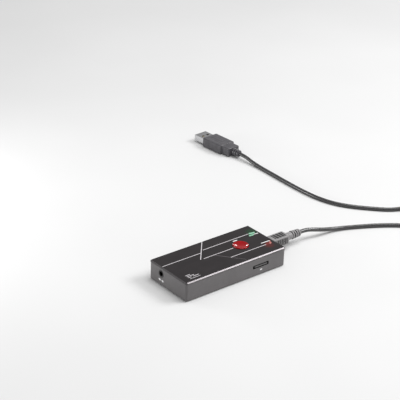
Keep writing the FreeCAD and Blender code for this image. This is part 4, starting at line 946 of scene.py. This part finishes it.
def grip_relief(middle, half_length, half_width, side_half_height, depth=1.0):
    """A sunk pad with cross bars on the top and underside, and upright grooves in both sides.
    The depth is a share of the full relief."""
    def relief(x, y, z, out):
        along = x - middle
        upward, sideways = abs(out.y) ** 4, abs(out.x) ** 4
        pad = inside(along, half_length, 0.5) * inside(y, half_width, 0.5) * upward
        bars = wave(along, BAR_PITCH, BAR_SHARE)
        groove = inside(along, half_length, 0.4) * inside(z, side_half_height, 0.6) * sideways
        seam = inside(z, SEAM_HALF_WIDTH, SEAM_EDGE) * sideways * SEAM_DEPTH
        grooves = groove * (1 - wave(along, GROOVE_PITCH, GROOVE_SHARE))
        return depth * (pad * (PAD_DEPTH - BAR_HEIGHT * bars) + grooves * GROOVE_DEPTH) + seam
    return relief


def boot_mesh(name, outline, ribs, place):
    """A strain relief of revolution about X. Between its ribs, slots leave two bridges, a quarter
    turn on from gap to gap. The outline is points of x and radius, and ribs is where the ribs
    start and end along X and how many there are."""
    first, last, number = ribs
    pitch = (last - first) / number
    bm = bmesh.new()
    rings, sunk_by = [], []
    for x, radius in tapered(outline):
        gap = (x - first) / pitch
        on_ribs = first < x < last
        off_middle = abs(gap % 1 - 0.5)
        rib = smooth_step((RIB_HALF - off_middle) / RIB_EDGE + 0.5) if on_ribs else 0
        slot = 1 - smooth_step((SLOT_HALF - off_middle) / SLOT_EDGE + 0.5) if on_ribs else 0
        turned = math.pi / 2 * (round(gap) % 2)
        ring, depths = [], []
        for i in range(BOOT_SIDES):
            angle = 2 * math.pi * i / BOOT_SIDES
            bridge = smooth_step((abs(math.cos(angle - turned)) - BRIDGE_START) / BRIDGE_EDGE)
            depths.append(SLOT_DEPTH * slot * (1 - bridge))
            reach = radius + RIB_HEIGHT * rib - depths[-1]
            point = Vector((x, reach * math.cos(angle), reach * math.sin(angle)))
            ring.append(place @ (point * MM))
        rings.append(ring)
        sunk_by.append(depths)
    paint_shade_in_recesses(skin(bm, rings), sunk_by)
    return finished_mesh(name, bm)


def tapered(points):
    """Stations along a tapering outline given by a few points of x and radius."""
    stations = []
    for (x0, r0), (x1, r1) in zip(points, points[1:]):
        for x in spaced(x0, x1, BOOT_STEP)[:-1]:
            stations.append((x, r0 + (r1 - r0) * (x - x0) / (x1 - x0)))
    return stations + [points[-1]]


def make_device_plug():
    length = (GRIP_HIGH.x - GRIP_LOW.x) / MM
    half_width = (GRIP_HIGH.y - GRIP_LOW.y) / MM / 2
    half_height = (GRIP_HIGH.z - GRIP_LOW.z) / MM / 2
    edge, neck_length, neck_drop = 0.35, 2.6, 1.1
    neck_from = length - neck_length
    stations = rounded_end(0, 1, half_width, half_height, BLOCK_CORNER, edge)[::-1]
    stations += [(x, half_width, half_height, BLOCK_CORNER)
                 for x in spaced(edge, neck_from, BLOCK_STEP)[1:]]
    for x in spaced(neck_from, length, BLOCK_STEP)[1:]:
        drop = neck_drop * smooth_step((x - neck_from) / (length - neck_from)) ** 1.3
        stations.append(
            (x, half_width - 1.3 * drop, half_height - drop * 0.8, BLOCK_CORNER + drop))
    place = Matrix.Translation((GRIP_LOW.x, PLUG_AXIS.y, PLUG_AXIS.z))
    mesh = block_mesh("device_plug_grip", stations, grip_relief(11.3, 5.0, 3.0, 2.4), place)
    grip = add_moulding("device_plug_grip", mesh, "mould_grey", "device_plug_overmould")
    end = (BOOT_HIGH.x - BOOT_LOW.x) / MM
    outline = [(0, 2.7), (0.4, 2.85), (2.6, 2.75), (end - 0.3, 2.25), (end, 2.0)]
    place = Matrix.Translation((BOOT_LOW.x, PLUG_AXIS.y, PLUG_AXIS.z))
    mesh = boot_mesh("device_plug_strain_relief", outline, (3.6, end - 0.3, 4), place)
    boot = add_moulding("device_plug_strain_relief", mesh, "mould_grey", "device_plug_boot")
    return [grip, boot]


def make_host_plug():
    boot_length, neck_length, grip_length = 7.5, 8.0, 21.0
    neck_half_width, neck_half_height, neck_edge = 6.0, 3.5, 0.7
    grip_half_width, grip_half_height, grip_edge = 7.8, 4.0, 0.5
    x, y, z = HOST_END
    place = Matrix.Translation(mm(x + USB_END, y, z)) @ Matrix.Rotation(HOST_HEADING, 4, "Z")
    outline = [(0, 2.0), (0.3, 2.25), (boot_length - 1.2, 2.85), (boot_length, 2.95)]
    mesh = boot_mesh("host_plug_strain_relief", outline, (0.4, boot_length - 1.0, 3), place)
    boot = add_moulding("host_plug_strain_relief", mesh, "host_mould", "host_plug_boot")
    neck_end = boot_length + neck_length
    neck = plug_block(
        boot_length, neck_end, neck_half_width, neck_half_height, BLOCK_CORNER, neck_edge)
    grip = plug_block(neck_end, neck_end + grip_length, grip_half_width, grip_half_height,
                      BLOCK_CORNER, grip_edge)
    relief = grip_relief(neck_end + grip_length / 2, 7.0, 4.6, 2.4, depth=0.4)
    stations = neck[:-3] + grip[1:]  # one skin, which steps out from the neck to the grip
    mesh = block_mesh("host_plug_grip", stations, relief, place)
    body = add_moulding("host_plug_grip", mesh, "host_mould", "host_plug_overmould")
    return [boot, body]


BAND_CORNERS = [(20.0, 1.95), (17.0, 7.2), (14.0, 1.95)]  # of the cords that it goes round
BAND_CLEARANCE = 0.02
BAND_THICKNESS = 0.42
BAND_EDGE = 0.12  # cut edges
BAND_STEPS = 12  # round each corner


def make_coil_band():
    """A band drawn round the bundle's three-cornered section."""
    half_width = (TIE_HIGH.y - TIE_LOW.y) / MM / 2
    middle_y = (TIE_HIGH.y + TIE_LOW.y) / 2
    centre_x = mm(COIL_CENTRE[0] + USB_END, 0, 0).x
    outline = []
    for i, corner in enumerate(BAND_CORNERS):
        here = Vector(corner)
        before, after = Vector(BAND_CORNERS[i - 1]), Vector(BAND_CORNERS[(i + 1) % 3])
        arriving, leaving = (here - before).normalized(), (after - here).normalized()
        start = math.atan2(-arriving.x, arriving.y)
        end = math.atan2(-leaving.x, leaving.y)
        if end < start:
            end += 2 * math.pi
        for j in range(BAND_STEPS + 1):
            angle = start + (end - start) * j / BAND_STEPS
            outline.append((here, Vector((math.cos(angle), math.sin(angle)))))
    half_flat, side_top = half_width - BAND_EDGE, BAND_THICKNESS - BAND_EDGE
    section = [
        (-half_flat, 0), (half_flat, 0), (half_width, BAND_EDGE), (half_width, side_top),
        (half_flat, BAND_THICKNESS), (-half_flat, BAND_THICKNESS), (-half_width, side_top),
        (-half_width, BAND_EDGE),
    ]
    inner = CORD_RADIUS + BAND_CLEARANCE
    rings = []
    for here, out in outline + outline[:1]:
        ring = []
        for across, rise in section:
            point = here + out * (inner + rise)
            ring.append(Vector((centre_x + point.x * MM, middle_y + across * MM, point.y * MM)))
        rings.append(ring)
    mesh = looped_mesh("coil_band", rings)
    return add_piece("coil_band", mesh, "usb_lead", "tie_black", ["coil_tie"])


# ---------------------------------------------------------------- stage, lights and camera

CAMERA_PLACE = (-0.49005, -0.58016, 0.42836)
CAMERA_AZIMUTH = -39.16
CAMERA_ELEVATION = 26.247
CAMERA_ROLL = 1.731
CAMERA_LENS = 115.135
CAMERA_SENSOR = 36

WORLD_STRENGTH = 0.42
# Lights as the direction and the distance from the target, size, power and target.
SCENE_CENTRE = (0.05, 0, 0)
LIGHTS = {
    "key": ((0.62, -0.36, 0.70), 1.3, (0.6, 0.5), 9.5, SCENE_CENTRE),
    "overhead": ((0.12, -0.05, 1.0), 1.3, (0.7, 0.7), 7.5, SCENE_CENTRE),
    "left_fill": ((-0.5, 0.8, 0.14), 0.3, (0.15, 0.06), 0.42, (-0.043, 0.02, 0.007)),
}
GLINTS = {
    "glint_left": ((0.375, 0.852, 0.365), 1.0, (0.10, 0.10), 0.75, BUTTON_CENTRE),
    "glint_right": ((0.757, 0.540, 0.367), 1.0, (0.10, 0.10), 0.75, BUTTON_CENTRE),
}


def make_camera():
    data = bpy.data.cameras.new("camera")
    data.lens = CAMERA_LENS
    data.sensor_width = CAMERA_SENSOR
    azimuth, elevation = math.radians(CAMERA_AZIMUTH), math.radians(CAMERA_ELEVATION)
    roll = math.radians(CAMERA_ROLL)
    back = Vector((
        math.sin(azimuth) * math.cos(elevation),
        -math.cos(azimuth) * math.cos(elevation),
        math.sin(elevation),
    ))
    level_right = Vector((math.cos(azimuth), math.sin(azimuth), 0))
    level_up = back.cross(level_right)
    right = level_right * math.cos(roll) + level_up * math.sin(roll)
    up = level_up * math.cos(roll) - level_right * math.sin(roll)
    turn = Matrix((right, up, back)).transposed().to_4x4()
    camera = bpy.data.objects.new("camera", data)
    camera.matrix_world = Matrix.Translation(CAMERA_PLACE) @ turn
    bpy.context.scene.collection.objects.link(camera)
    bpy.context.scene.camera = camera


def area_light(name, direction, distance, size, power, target):
    data = bpy.data.lights.new(name, "AREA")
    data.shape = "RECTANGLE"
    data.size, data.size_y = size
    data.energy = power
    light = bpy.data.objects.new(name, data)
    away = Vector(direction).normalized()
    light.location = Vector(target) + away * distance
    light.rotation_mode = "QUATERNION"
    light.rotation_quaternion = away.to_track_quat("Z", "Y")
    bpy.context.scene.collection.objects.link(light)
    return light


def make_stage():
    bm = bmesh.new()
    bmesh.ops.create_grid(bm, x_segments=4, y_segments=4, size=4.0)
    floor = bpy.data.objects.new("floor", finished_mesh("floor", bm))
    nodes = Nodes("paper_white")
    nodes.set(Specular_IOR_Level=0.1)
    slow = nodes.ranged(nodes.noise(180, 2), 0, 1)
    nodes.colour(nodes.mix(slow, (0.755, 0.755, 0.755), (0.785, 0.785, 0.785)))
    nodes.roughness(nodes.ranged(nodes.noise(60, 2), 0.8, 0.9))
    floor.data.materials.append(nodes.material)
    bpy.context.scene.collection.objects.link(floor)
    world = bpy.data.worlds.new("studio")
    world.use_nodes = True
    background = world.node_tree.nodes["Background"]
    background.inputs["Color"].default_value = (1, 1, 1, 1)
    background.inputs["Strength"].default_value = WORLD_STRENGTH
    bpy.context.scene.world = world
    for name, settings in LIGHTS.items():
        area_light(name, *settings)
    view = bpy.context.scene.view_settings
    view.view_transform = "Standard"
    view.look = "None"


def make_glints(pieces):
    """Two small lights that reach only these pieces, so the cover stays free of their glare."""
    reached = bpy.data.collections.new("glint_receivers")
    for piece in pieces:
        reached.objects.link(piece)
    for name, settings in GLINTS.items():
        area_light(name, *settings).light_linking.receiver_collection = reached


# ---------------------------------------------------------------- build

make_camera()
make_stage()
finish_cad_nodes()
cord = make_cord()
make_printing()
make_windows()
button = make_button()
make_jack_ring()
make_eject_spring()
plugs = make_device_plug() + make_host_plug()
on_cord = plugs + [make_coil_band()]
make_glints([button, cord] + plugs)
mm(USB_END + DEVICE_ROUTE[0][0], DEVICE_ROUTE[0][1], DEVICE_ROUTE[0][2])
